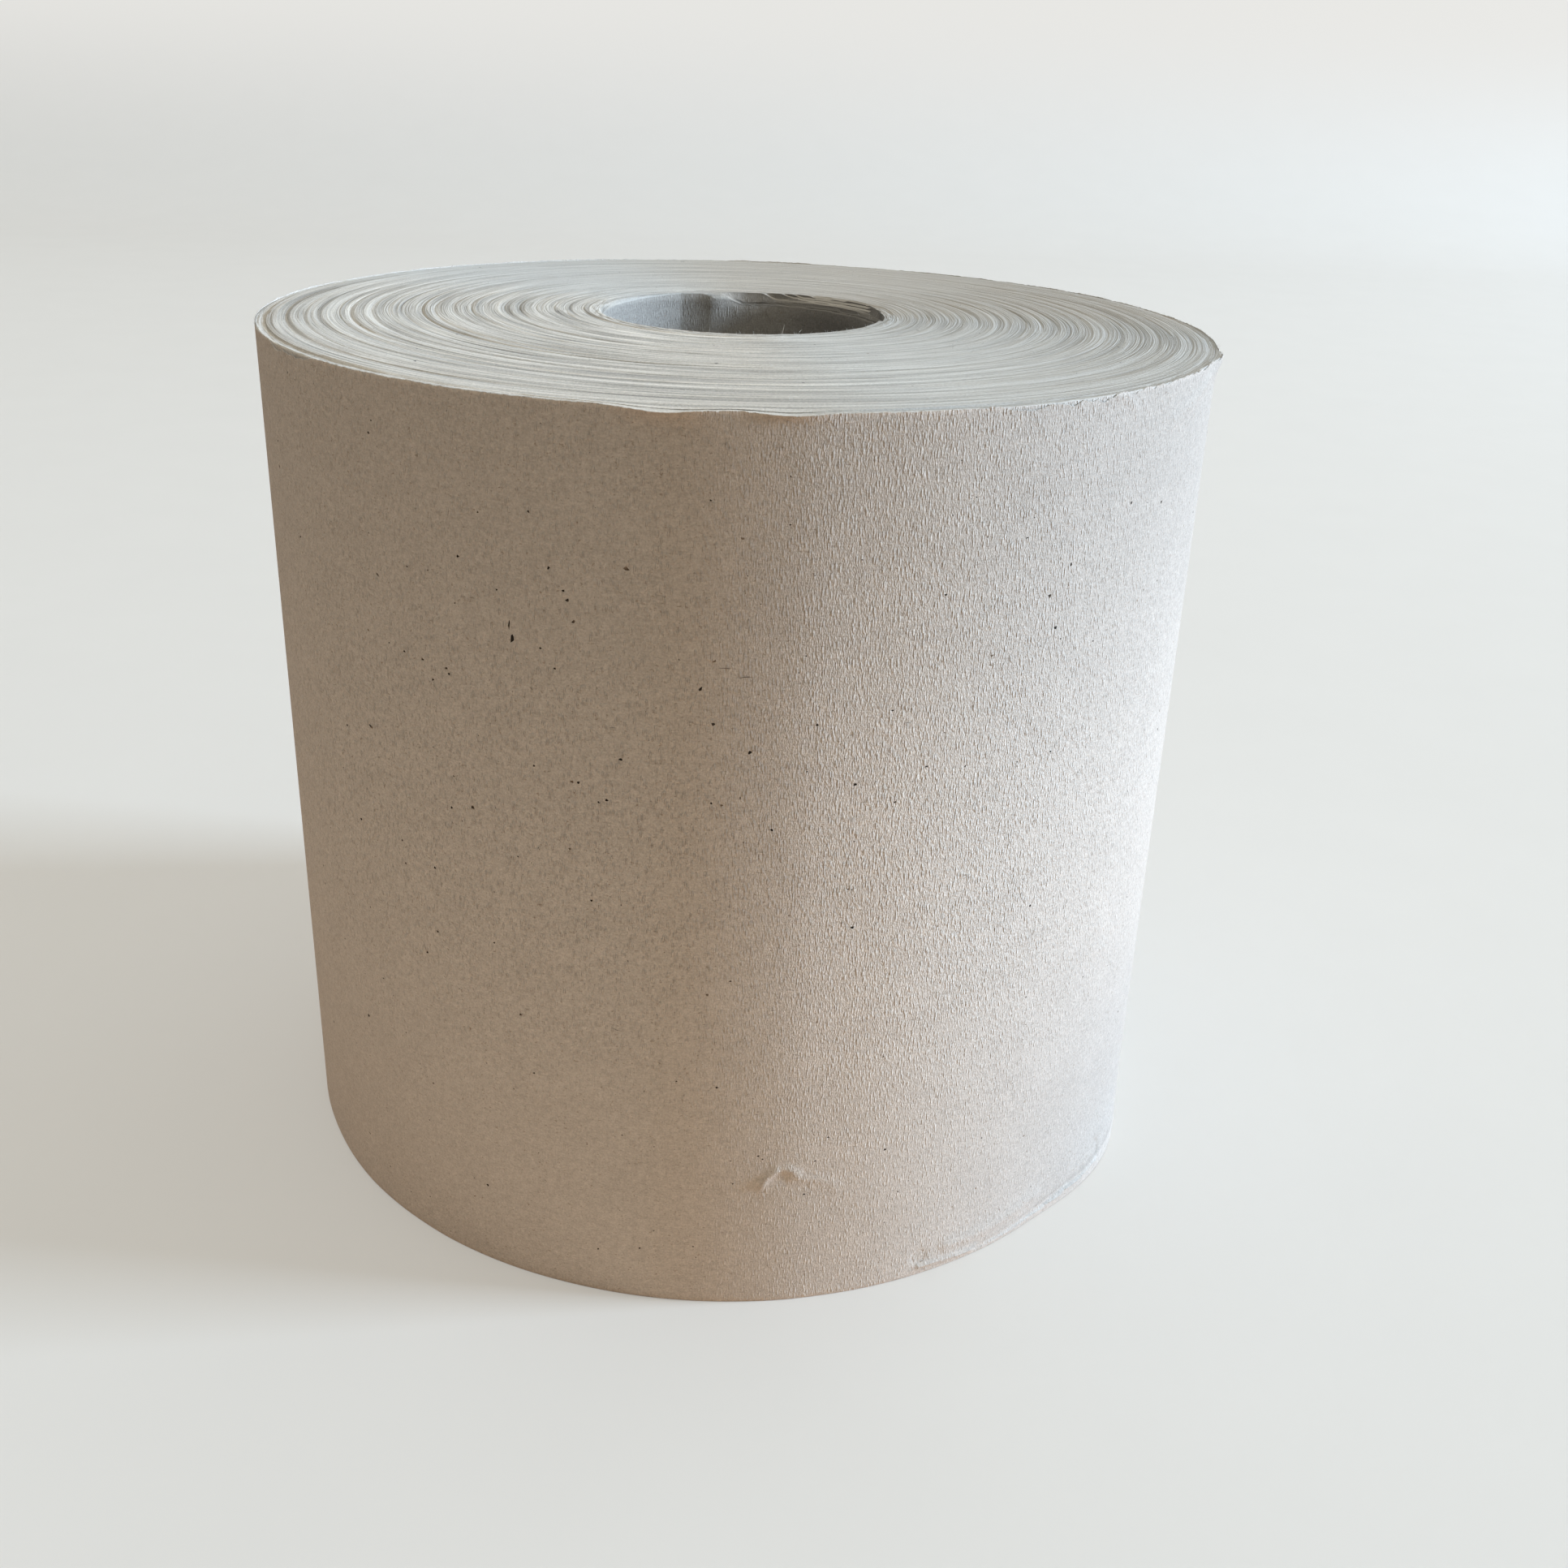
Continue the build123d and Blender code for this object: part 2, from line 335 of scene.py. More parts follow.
# How much painted light and shade those parts get, and the painted casts of coloured light on them
FOOT_PAINTED_HIGHLIGHT = 0.09
FOOT_PAINTED_SHADOW = 0.10
MIDDLE_PAINTED_LIGHT = 0.12
MIDDLE_RIGHT_PAINTED_LIGHT = 0.08
LOW_RIGHT_PAINTED_SHADE = 0.06
FAR_RIGHT_PAINTED_SHADE = 0.07
PLAIN_CAST = (1.0, 1.0, 1.0)
LOW_RIGHT_PAINTED_COOL_LIGHT = (0.95, 0.99, 1.03)
PAINTED_WARM_BOUNCE = (1.0, 0.965, 0.93)
# Relief near the foot, and what the upper and the middle part add and the far right loses
FOOT_RELIEF = 0.42
UPPER_RELIEF = 0.48
MIDDLE_RELIEF = 0.5
FAR_RIGHT_CALM = 0.4
# The wall of the bore: relief as a share of the face's, and how much painted shade darkens its right half
BORE_RELIEF = 0.35
BORE_RIGHT_PAINTED_SHADE = 0.45

# The cut edges of the turns. Lines round the roll: width in mm, how fast they come and go, and detail
TURN_LINES = {"single": (0.26, 2.2, 1), "several": (0.74, 1.4, 3), "bands": (1.9, 1.1, 2)}
CUT_GRAINS = {"fuzz": (0.3, 0.3, 3, 0.75), "cloud": (5, 5, 3, 0.5)}
LEANING_WIDTH = 0.36 * MM
LEANING_DRIFT = 5
CREST_SPAN = (0, 0.05)
GAP_SPAN = (0.62, 0.70)
# How much each layer adds to the tone and to the relief of the cut edges
LINE_TONE = {"single": 0.85, "several": 1.45, "bands": 0.15, "fuzz": 0.75}
LINE_MEAN = 1.60
# In the tone, crests carry painted highlights, gaps painted shade and the outer edge a painted highlight
CUT_TONE = {"cloud": 0.04, "crests": 0.10, "gaps": -0.16, "outer edge": 0.03}
CUT_BASE = 0.92
CUT_RELIEF = {"single": 0.9, "several": 1.3, "fuzz": 0.5, "crests": 0.15, "gaps": -0.4}
CUT_HEIGHT = 0.2 * MM
CUT_ROUGHNESS = 0.94
LEANING_RELIEF = 0.36
LEANING_OUTWARDS = 0.3
# Where the cut edges change: radii and heights, and shares of the way east and north on the end
OUTER_EDGE = (61.3 * MM, 62.1 * MM)
OUTWARDS = (35 * MM, 62 * MM)
SLIPPED_RADII = (20.0 * MM, 20.6 * MM)
SLIPPED_HEIGHTS = (112.7 * MM, 113.3 * MM)
SLIPPED_SIDE = (0.1, 0.5)
MOUTH_RADII = (18.4 * MM, 19.4 * MM)
MOUTH_FAR_SIDE = (-0.25, 0.1)
LIP_LEFT = (-0.9, 0.3)
LINES_FADE_EAST = (-0.2, 0.8)
LINES_FADE_NORTH = (-0.1, 0.6)
DARKER_EAST = (-0.2, 0.9)
CALMER_EAST = (0, 0.7)
CORNERS = (0, 0.4)
# How much painted light and shade those parts get, how strong their lines are, and the casts of the end:
# warm, but with a cool painted sheen at its far left and near right
LINES_STRENGTH = 1.12
LINES_LOST_EAST = 0.58
LINES_LOST_NORTH = 0.5
SLIPPED_PAINTED_SHADE = 0.6
MOUTH_PAINTED_HIGHLIGHT = 0.10
LIP_PAINTED_SHADE = 0.14
CORNERS_PAINTED_SHEEN = 0.11
END_LEVEL = 0.925
EAST_PAINTED_SHADE = 0.06
NORTH_PAINTED_SHADE = 0.055
ENDS_PAINTED_LIGHT = 0.175
EAST_CALM = 0.35
CAST_TURN = 0.2
CUT_TINT_AND_SHEEN = ((1.02, 0.995, 0.955), (0.965, 0.995, 1.015))

# Specks and lint: grains, levels with what the grain adds to them, and relief
SPECK_KINDS = (1.3, 1.3, 0, 0.5)
SPECK_KIND_SPAN = (0.52, 0.74)
SPECK_GRAIN = (0.06, 0.06, 2, 0.5)
SPECK_ROUGHNESS = (0.75, 0.2)
SPECK_RELIEF = 0.01 * MM
LINT_GRAIN = (0.2, 0.2, 2, 0.5)
LINT_TONE = (0.9, 0.15)
LINT_ROUGHNESS = (0.8, 0.1)
LINT_RELIEF = 0.005 * MM

# The camera and the studio
CAMERA_PLACE = (0, -226.2375 * MM, 146.35625 * MM)
CAMERA_AIM = (0.03228491, 0.91162225, -0.40975914)
CAMERA_ROLL = 0.03738
CAMERA_LENS = 37.62
CAMERA_SENSOR = 36
CAMERA_NEAR = 0.01
FLOOR_WIDTH = 5.0
FLOOR_FRONT = -2.0
FLOOR_BACK = 1.1
SWEEP_RADIUS = 0.5
SWEEP_STEPS = 24
BACKDROP_HEIGHT = 1.8
FLOOR_GRAIN = (30, 30, 3, 0.5)
FLOOR_TONE = (0.98, 0.04)
WALL_START = (0.02, 0.2)        # heights where the floor turns into the backdrop
FLOOR_GLOW = 0.30               # share of the floor that is lit evenly, and what the backdrop adds
WALL_GLOW = 0.60
GLOW_LEVEL = 1.02
BOUNCE_REACH = (0.08, 0.5)      # how far from the roll the floor's bounce fades
BOUNCE_LOSS = 0.7
KEY_DISTANCE = 3.0
KEY_SIZE = 0.7
SKY_DISTANCE = 2.0
SKY_SIZE = 1.6
HORIZON_HEIGHT = 0.98           # how high the room light reaches, as the sine of its elevation


# Sizes and colours that a user would change, with their common settings

length_of = partial(FloatProperty, unit="LENGTH", min=0, precision=5)
level_of = partial(FloatProperty, min=0)
angle_of = partial(FloatProperty, subtype="ANGLE")
colour_of = partial(FloatVectorProperty, subtype="COLOR", size=3, min=0)


class RollShape(bpy.types.PropertyGroup):
    """Sizes of the wound roll"""

    roll_width: length_of(
        name="Web width", description="Width of the web, so the height of the standing roll",
        default=114 * MM, min=20 * MM)
    roll_diameter: length_of(
        name="Diameter", description="Outside diameter of the roll", default=125 * MM, min=50 * MM)
    bore_diameter: length_of(
        name="Bore", description="Diameter of the open bore", default=37 * MM, min=10 * MM)
    turn_step: length_of(
        name="Step at the cut edge", description="Thickness of the last turn with its slack",
        default=0.3 * MM)
    sheet: length_of(
        name="Sheet", description="Thickness of the last turn alone", default=0.13 * MM, min=0.02 * MM)
    band_count: IntProperty(
        name="Bands", description="Bands of turns on the top end", default=20, min=4)
    ring_depth: length_of(
        name="Ring depth", description="Deepest ring between two bands of turns", default=0.12 * MM)
    rim_fall: length_of(
        name="Fall to the rim", description="How far the top end falls away to its rim", default=0.8 * MM)
    mouth_fall: length_of(
        name="Fall to the mouth", description="How far the top end falls away to the mouth of the bore",
        default=0.12 * MM)


class TissueFinish(bpy.types.PropertyGroup):
    """Colours and relief of the tissue"""

    paper: colour_of(
        name="Paper", description="Colour of the tissue", default=(0.60, 0.58, 0.545), max=1)
    fleck: colour_of(
        name="Fleck", description="Colour of the faint pulp flecks in the tissue",
        default=(0.30, 0.24, 0.18), max=1)
    speck: colour_of(
        name="Speck", description="Colour of the darkest specks", default=(0.020, 0.016, 0.012), max=1)
    lint: colour_of(
        name="Lint", description="Colour of the loose fibres", default=(0.80, 0.80, 0.79), max=1)
    # Painted shade for the inside of the bore: the first turns are made darker to stand for the shadow
    # there
    bore_painted_shade: level_of(
        name="Bore shade", description="Tone of the first turns in the bore, 1 for that of the last turn",
        default=0.60, max=1)
    crepe_height: length_of(
        name="Crepe", description="Height of the crepe's folds", default=0.30 * MM)


class StudioSetup(bpy.types.PropertyGroup):
    """Light and floor"""

    key_level: level_of(
        name="Window light", default=1.28,
        description="Light that reaches a surface facing the window, 1 for plain white")
    key_colour: colour_of(
        name="Window colour", description="Colour of the window light", default=(0.82, 1.0, 1.21), max=2)
    key_azimuth: angle_of(
        name="Window azimuth", description="Where the window light comes from, round the roll",
        default=math.radians(-1))
    key_elevation: angle_of(
        name="Window elevation", description="How high the window light stands", default=math.radians(16))
    fill_level: level_of(
        name="Room light", description="Light from the walls of the room", default=0.05)
    ceiling_level: level_of(
        name="Ceiling light", description="Light from straight above", default=0.68)
    room_colour: colour_of(
        name="Room colour", description="Colour of the light of the room", default=(1.06, 1.0, 0.86), max=2)
    sky_level: level_of(
        name="Back light", description="Light that reaches a surface facing the soft lamp behind the roll",
        default=0.08)
    sky_azimuth: angle_of(
        name="Back azimuth", description="Where the soft lamp stands, round the roll",
        default=math.radians(150))
    sky_elevation: angle_of(
        name="Back elevation", description="How high the soft lamp stands", default=math.radians(50))
    floor: colour_of(
        name="Floor", description="Colour of the floor as the camera sees it",
        default=(0.80, 0.79, 0.76), max=1)
    bounce: colour_of(
        name="Bounce", description="Colour of the light that the floor throws back",
        default=(0.96, 0.65, 0.44), max=1)


# Lines and swellings round the roll

def ease(share):
    """0 to 1 with a soft start and end."""
    share = np.clip(share, 0, 1)
    return share * share * (3 - 2 * share)


def turned_from(degrees, centre):
    """Angle from a centre, between -180 and 180."""
    return (degrees - centre + 180) % 360 - 180


def swell(degrees, centre, spread):
    """A smooth swelling, 1 at its centre and 0 from its spread outwards."""
    return np.cos(np.clip(turned_from(degrees, centre) / spread, -1, 1) * math.pi / 2) ** 2


def between(degrees, start, end, soft):
    """1 between two angles and 0 outside them, with soft ends."""
    half = (end - start) / 2
    return ease((half - np.abs(turned_from(degrees, start + half))) / soft + 0.5)


def wander(random, degrees, kind):
    """A smooth random line round the roll, of one of the kinds of wander."""
    fewest, most, reach = WANDERS[kind]
    counts = random.integers(fewest, most + 1, WAVE_COUNT)
    starts = random.uniform(0, 2 * math.pi, WAVE_COUNT)
    sizes = random.uniform(*WAVE_SIZES, WAVE_COUNT)
    lines = np.cos(np.radians(degrees)[..., None] * counts + starts) * sizes
    return reach * lines.sum(axis=-1) / math.sqrt((sizes**2).sum())


def ragged(random, degrees):
    """A torn paper edge: a slow wander with finer tears and fuzz on it."""
    return sum(wander(random, degrees, kind) for kind in ("torn line", "torn teeth", "torn fuzz"))


def stepped(random, degrees, kind):
    """A line that jumps from level to level at random angles, of one of the kinds of jumps."""
    count, reach = JUMPS[kind]
    line = np.zeros_like(degrees)
    for place, level in zip(random.uniform(-180, 180, count), random.uniform(-1, 1, count)):
        line += level * between(degrees, place, place + random.uniform(*JUMP_WIDTHS), JUMP_SOFTNESS)
    return reach * line


# Shape of the roll

def rim_radius(shape):
    """Outside radius of the roll."""
    return shape.roll_diameter / 2


def bore_radius(shape):
    """Radius of the open bore."""
    return shape.bore_diameter / 2


def rim_height(shape):
    """Height of the rim at the top end."""
    return shape.roll_width - shape.rim_fall


def top_height(shape, radius):
    """Height of the crests on the top end, which falls away to the rim and to the mouth."""
    bore = bore_radius(shape)
    across = np.clip((radius - bore) / (rim_radius(shape) - bore), 0, 1)
    to_rim = shape.rim_fall * across**RIM_FALL_POWER
    to_mouth = shape.mouth_fall * (1 - across) ** MOUTH_FALL_POWER
    return shape.roll_width - to_rim - to_mouth


def band_radii(shape):
    """Radii that part the wound wall into bands of uneven width, from the bore to the rim's lip."""
    inner = bore_radius(shape) + MOUTH_BEVEL
    outer = rim_radius(shape) - LIP_WIDTH
    widths = 1 + BAND_UNEVEN * np.sin(BAND_BEAT * np.arange(shape.band_count))
    return inner + (outer - inner) * np.append(0, np.cumsum(widths)) / widths.sum()


def ring_depths(shape):
    """Depths of the rings at the start of each band and past the last one."""
    bands = np.arange(-1, shape.band_count)
    return shape.ring_depth * (1 - RING_UNEVEN * (1 + np.sin(BAND_BEAT * bands * 2)) / 2)


def spiral_radius(shape, past_tail):
    """Outside of the last turn, from its cut edge round to where it goes under that edge."""
    far_half = (1 + np.cos(np.radians(np.clip(past_tail, 180, 360)))) / 2
    return rim_radius(shape) - shape.turn_step * far_half


def wound_radius(shape, past_tail):
    """Outside of the turns under the last one, which sink where its overlap lies between."""
    under_tail = 1 - ease((past_tail - TAIL_OVERLAP) / TAIL_EASE)
    return spiral_radius(shape, past_tail) - shape.sheet - SHEET_GAP - shape.turn_step * under_tail


def ring_strength(degrees):
    """How much of the rings shows at each angle."""
    strength = np.ones_like(degrees)
    for start, end, soft, left in FADED_ARCS:
        strength -= (1 - left) * between(degrees, start, end, soft)
    return strength


def ring_share(radius):
    """How deep the rings are at each radius: they are shallower near the mouth and near the rim."""
    mouth_start, mouth_width, mouth_loss = CALM_MOUTH
    rim_start, rim_width, rim_loss = CALM_RIM
    near_mouth = 1 - ease((radius - mouth_start) / mouth_width)
    near_rim = ease((radius - rim_start) / rim_width)
    return 1 - mouth_loss * near_mouth - rim_loss * near_rim


def tear_depth(degrees):
    """How deep the top edge is torn at each angle."""
    return sum(deepest * between(degrees, start, end, soft) for start, end, deepest, soft in TEARS)


def lean(shape, degrees, radius, height):
    """Radius and height of points once the last turns have leaned out at the flares."""
    share = ease((radius - rim_radius(shape) + LEAN_DEPTH) / LEAN_DEPTH)
    out = np.zeros_like(radius)
    down = np.zeros_like(radius)
    for centre, spread, reach, tall, drop, end in LEANS:
        if end == "top":
            rise = np.clip((height - rim_height(shape) + tall) / tall, 0, LEAN_LIMIT)
        else:
            rise = ease((tall - height) / tall)
        push = swell(degrees, centre, spread) * rise**2 * share
        out += reach * push
        down += drop * push
    tuck = FOOT_TUCK * np.clip(1 - height / FOOT_ROUND, 0, 1) ** 2 * share
    return radius + out - tuck, height - down


def crease_lift(shape, degrees, height):
    """How far the creases and dents move the surface of the last turn."""
    around = rim_radius(shape)
    degrees = turned_from(degrees, 0)
    lift = np.zeros_like(degrees)
    for points, width, rise in CREASES:
        nearest = np.inf
        for (from_angle, from_height), (to_angle, to_height) in zip(points, points[1:]):
            along = around * math.radians(to_angle - from_angle)
            up = (to_height - from_height) * MM
            across = around * np.radians(degrees - from_angle)
            rise_to = height - from_height * MM
            share = np.clip((across * along + rise_to * up) / (along**2 + up**2), 0, 1)
            nearest = np.minimum(nearest, np.hypot(across - share * along, rise_to - share * up))
        lift += rise * np.exp(-(nearest / width) ** 2)
    for angle, at_height, width, depth in DENTS:
        away = np.hypot(around * np.radians(degrees - angle), height - at_height * MM)
        lift -= depth * np.exp(-(away / width) ** 2)
    return lift


# Meshes

def placed(degrees, radius, height):
    """Points from angles, radii and heights."""
    angle = np.radians(degrees)
    return np.stack(np.broadcast_arrays(radius * np.cos(angle), radius * np.sin(angle), height), axis=-1)


def points_of(shape, degrees, rows):
    """Points of rows of radii and heights, once the last turns have leaned out."""
    filled = np.array([np.broadcast_arrays(*row, degrees)[:2] for row in rows])
    radius, height = lean(shape, degrees, filled[:, 0], filled[:, 1])
    return placed(degrees, radius, height).reshape(-1, 3)


def keep_mesh(name, points, faces, finishes, finish_of_face=None):
    """A piece from its points and faces, smooth but for its crisp edges."""
    mesh = bpy.data.meshes.new(name)
    mesh.from_pydata(points.tolist(), [], faces)
    for finish in finishes:
        mesh.materials.append(finish)
    mesh.polygons.foreach_set("use_smooth", [True] * len(mesh.polygons))
    if finish_of_face is not None:
        mesh.polygons.foreach_set("material_index", finish_of_face)
    bm = bmesh.new()
    bm.from_mesh(mesh)
    bmesh.ops.recalc_face_normals(bm, faces=bm.faces)
    bm.to_mesh(mesh)
    bm.free()
    mesh.set_sharp_from_angle(angle=math.radians(CRISP_ANGLE))
    piece = bpy.data.objects.new(name, mesh)
    bpy.context.scene.collection.objects.link(piece)
    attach(piece, BODY)
    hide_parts(NODE)
    return piece


def skin_faces(rows, columns, closed):
    """Quads of a skin whose rows close round its section, and whose columns may close round the roll."""
    row = np.arange(rows)[:, None]
    column = np.arange(columns if closed else columns - 1)[None, :]
    next_row = (row + 1) % rows
    next_column = (column + 1) % columns
    corners = [row * columns + column, row * columns + next_column,
               next_row * columns + next_column, next_row * columns + column]
    return np.stack(corners, axis=-1).reshape(-1, 4).tolist()


def heights_down(edge, drops, heights):
    """Heights of rows from the top down: drops below an edge, and then heights over the foot, in mm."""
    return [edge - drop * MM for drop in drops] + [height * MM for height in heights]


def wall_bulge(degrees):
    """How far the bore's wall stands in from its circle at each angle."""
    left_end, left_start, right_start, right_end = BULGE_FLANKS
    degrees = turned_from(degrees, 0)
    left = np.clip((left_end - degrees) / (left_end - left_start), 0, 1)
    right = ease((degrees - right_end) / (right_start - right_end))
    return BULGE_REACH * left * right


def mouth_rows(shape, degrees, random):
    """Rows over the groups of turns in the mouth, which have slipped down on its far side."""
    sway = wander(random, degrees, "mouth") + stepped(random, degrees, "mouth")
    fold = swell(degrees, FOLD_ANGLE, FOLD_SPREAD)
    inwards = FOLD_REACH * fold + wall_bulge(degrees)
    centre, spread, widest = LIP_ROUNDING
    rounding = LIP_EDGE + widest * np.maximum(swell(degrees, centre, spread), fold)
    rows = []
    for group, (start, end, soft, deep, shallow) in enumerate(SLIPPED):
        slipped = between(degrees, start, end, soft)
        own = 1 + wander(random, degrees, "slip") + stepped(random, degrees, "slip")
        jumps = stepped(random, degrees, "slipped edge") * (group >= FOLD_GROUPS)
        fuzz = wander(random, degrees, "mouth fuzz")
        following = max(1 - group / FOLD_GROUPS, 0)
        for across, depth in zip(SLIP_SHARES, (deep, deep - SLIP_BEVEL, shallow)):
            past_edge = SLIP_THICKNESS * (group + across)
            radius = bore_radius(shape) + past_edge + sway * slipped - inwards * following
            curve = np.clip(1 - past_edge / rounding, 0, 1)
            drop = rounding * (1 - np.sqrt(1 - curve**2))
            sunk = (depth * own + jumps) * slipped
            rows.append((radius, top_height(shape, radius) - drop - sunk + fuzz))
    return rows


def end_face_rows(shape, degrees, random):
    """Rows over the bands of turns on the top end: rounded crests with sharp rings between them."""
    radii = band_radii(shape)
    radii[0] = bore_radius(shape) + len(SLIPPED) * SLIP_THICKNESS + FIRST_BAND_GAP
    depths = ring_depths(shape) * ring_share(radii)
    depths[0] *= FIRST_RING_SHARE
    lines = [radius + wander(random, degrees, "ring") for radius in radii]
    strength = ring_strength(degrees)
    sunk = [depth * strength * (1 + wander(random, degrees, "ring depth")) for depth in depths]
    slow = wander(random, degrees, "end")
    rows = []
    for band in range(shape.band_count):
        roundness = random.uniform(*RING_ROUNDNESS)
        level = BAND_STEP * strength * (random.uniform(-1, 1) + wander(random, degrees, "band level"))
        for share in BAND_SHARES:
            radius = lines[band] * (1 - share) + lines[band + 1] * share
            depth = sunk[band] * (1 - share) + sunk[band + 1] * share
            valley = abs(2 * share - 1) ** roundness
            groove = strength * wander(random, degrees, "groove")
            rows.append((radius, top_height(shape, radius) - depth * valley + level + groove + slow))
    return rows


def rim_rows(shape, degrees, past_tail, random):
    """Rows from the last ring over the lip of the rim to the outside of the wound turns."""
    start = rim_radius(shape) - LIP_WIDTH + wander(random, degrees, "ring")
    end = wound_radius(shape, past_tail)
    torn = RIM_TORN_SHARE * tear_depth(degrees)
    ring = shape.ring_depth * RIM_RING_SHARE * ring_strength(degrees)
    ring = ring * (1 + wander(random, degrees, "rim ring depth"))
    rows = []
    for share in RIM_SHARES:
        radius = start * (1 - share) + end * share
        climb = ring * (1 - ease(share / RIM_CLIMB_SHARE))
        gap = torn * ease((share - RIM_TORN_START) / (1 - RIM_TORN_START))
        fuzz = wander(random, degrees, "rim") + wander(random, degrees, "rim fuzz")
        rows.append((radius, rim_height(shape) - climb - gap + fuzz))
    rows.append((end, rows[-1][1] - RIM_CHAMFER))
    return rows


def outside_rows(shape, past_tail, top):
    """Rows down the outside of the wound turns, where the last turn covers them."""
    face = wound_radius(shape, past_tail)
    return [(face, height) for height in heights_down(top, BODY_DROPS, BODY_HEIGHTS)]


def foot_rows(shape, degrees, past_tail, random):
    """Rows round the foot and across its bands, which are pressed flat, in to the bore."""
    face = wound_radius(shape, past_tail)
    rows = []
    for quarter in FOOT_ARC:
        angle = math.radians(quarter)
        rows.append((face - FOOT_ROUND * (1 - math.cos(angle)), FOOT_ROUND * (1 - math.sin(angle))))
    radii = band_radii(shape)
    depths = ring_depths(shape) * FOOT_RING_SHARE
    for band in reversed(range(1, shape.band_count, FOOT_RING_BANDS)):
        line = radii[band] + wander(random, degrees, "ring")
        rows += [(line + FOOT_RING_HALF, 0), (line, depths[band]), (line - FOOT_RING_HALF, 0)]
    rows.append((bore_radius(shape) + MOUTH_BEVEL, 0))
    rows.append((bore_radius(shape), MOUTH_BEVEL))
    return rows


def bore_rows(shape, degrees, mouth, random):
    """Rows up the wall of the bore to the edge of the first turn, with a few soft creases."""
    edge_radius, edge_height = mouth
    wall = bore_radius(shape) - wall_bulge(degrees)
    rows = []
    for share in BORE_SHARES:
        height = MOUTH_BEVEL + (edge_height - MOUTH_BEVEL) * share
        follow = ease((height - edge_height + FOLD_HEIGHT) / FOLD_HEIGHT)
        sway = wander(random, degrees, "bore")
        rows.append((wall + (edge_radius - wall) * follow + sway * (1 - follow), height))
    return rows


def build_wound_turns(shape, finish):
    """The wall of wound turns as one closed ring, with its top end, outside, foot and bore."""
    random = np.random.default_rng(SEED)
    past_tail = np.linspace(0, 360, BODY_COLUMNS, endpoint=False)
    degrees = past_tail + TAIL_ANGLE
    mouth = mouth_rows(shape, degrees, random)
    end_face = end_face_rows(shape, degrees, random)
    rim = rim_rows(shape, degrees, past_tail, random)
    top = mouth + end_face + rim
    outside = outside_rows(shape, past_tail, rim[-1][1])
    foot = foot_rows(shape, degrees, past_tail, random)
    bore = bore_rows(shape, degrees, mouth[0], random)
    rows = top + outside + foot + bore
    # The bore wall takes painted shade, darker still on its right half
    finishes = [cut_edge_finish(finish),
                tissue_finish(finish, "bore_wall", finish.bore_painted_shade, BORE_RELIEF, BORE_RIGHT_PAINTED_SHADE),
                tissue_finish(finish, "turn_below")]
    cut, wall, below = range(len(finishes))
    finish_of_row = [cut] * len(top) + [below] * len(outside) + [cut] * len(foot) + [wall] * len(bore)
    finish_of_row[len(top) - 1] = below
    # The risers between slipped groups take the darker bore wall finish, as painted shadow lines
    for group in range(1, len(SLIPPED)):
        finish_of_row[group * len(SLIP_SHARES) - 1] = wall
    faces = skin_faces(len(rows), BODY_COLUMNS, closed=True)
    finish_of_face = np.repeat(finish_of_row, BODY_COLUMNS)
    return keep_mesh("wound_turns", points_of(shape, degrees, rows), faces, finishes, finish_of_face)


def top_edge(shape, degrees):
    """Height of the ragged top edge of the last turn."""
    random = np.random.default_rng(SEED + 1)
    torn = tear_depth(degrees) * (1 + wander(random, degrees, "tear"))
    for place in random.uniform(*NICKED_ARC, NICKS):
        width = random.uniform(*NICK_WIDTHS)
        torn += random.uniform(*NICK_DEPTHS) * between(degrees, place, place + width, NICK_SOFTNESS)
    rough = EDGE_ROUGHNESS + NICKED_ROUGHNESS * between(degrees, *NICKED_ARC, NICKED_FADE)
    return rim_height(shape) + EDGE_RISE + rough * ragged(random, degrees) - torn


def face_radius(shape, degrees, height):
    """Outside of the last turn with its slack and creases, before it leans."""
    random = np.random.default_rng(SEED + 2)
    slack = wander(random, degrees, "slack") + wander(random, degrees, "ripple")
    spiral = spiral_radius(shape, (degrees - TAIL_ANGLE) % 360)
    return spiral + slack + crease_lift(shape, degrees, height)


def build_last_turn(shape, finish):
    """The last turn of the web, from its cut edge round to a little way under that edge."""
    past_tail = np.linspace(0, 360 + TAIL_OVERLAP, SHEET_COLUMNS)
    degrees = past_tail + TAIL_ANGLE
    edge = top_edge(shape, degrees)
    under = shape.turn_step * (past_tail > 360)
    outer_heights = reversed(heights_down(edge, SHEET_DROPS, SHEET_HEIGHTS))
    inner_heights = heights_down(edge, INNER_DROPS, INNER_HEIGHTS)
    outsides = [(face_radius(shape, degrees, height) - under, height) for height in outer_heights]
    inner_step = under + shape.sheet
    insides = [(face_radius(shape, degrees, height) - inner_step, height) for height in inner_heights]
    rows = outsides + [(outsides[-1][0] - shape.sheet / 2, edge)] + insides
    faces = skin_faces(len(rows), SHEET_COLUMNS, closed=False)
    first_end = [row * SHEET_COLUMNS for row in range(len(rows))]
    faces.append(first_end)
    faces.append([corner + SHEET_COLUMNS - 1 for corner in first_end])
    finishes = [tissue_finish(finish, "tissue_face")]
    return keep_mesh("last_turn", points_of(shape, degrees, rows), faces, finishes)


# Specks and fibres

def side_frame(shape, angle, height):
    """A point on the outside of the last turn, with the ways along the web, up and out."""
    radius, height = lean(shape, angle, face_radius(shape, angle, height), height)
    out = Vector(placed(angle, 1, 0))
    up = Vector((0, 0, 1))
    return Vector(placed(angle, radius, height)), up.cross(out), up, out


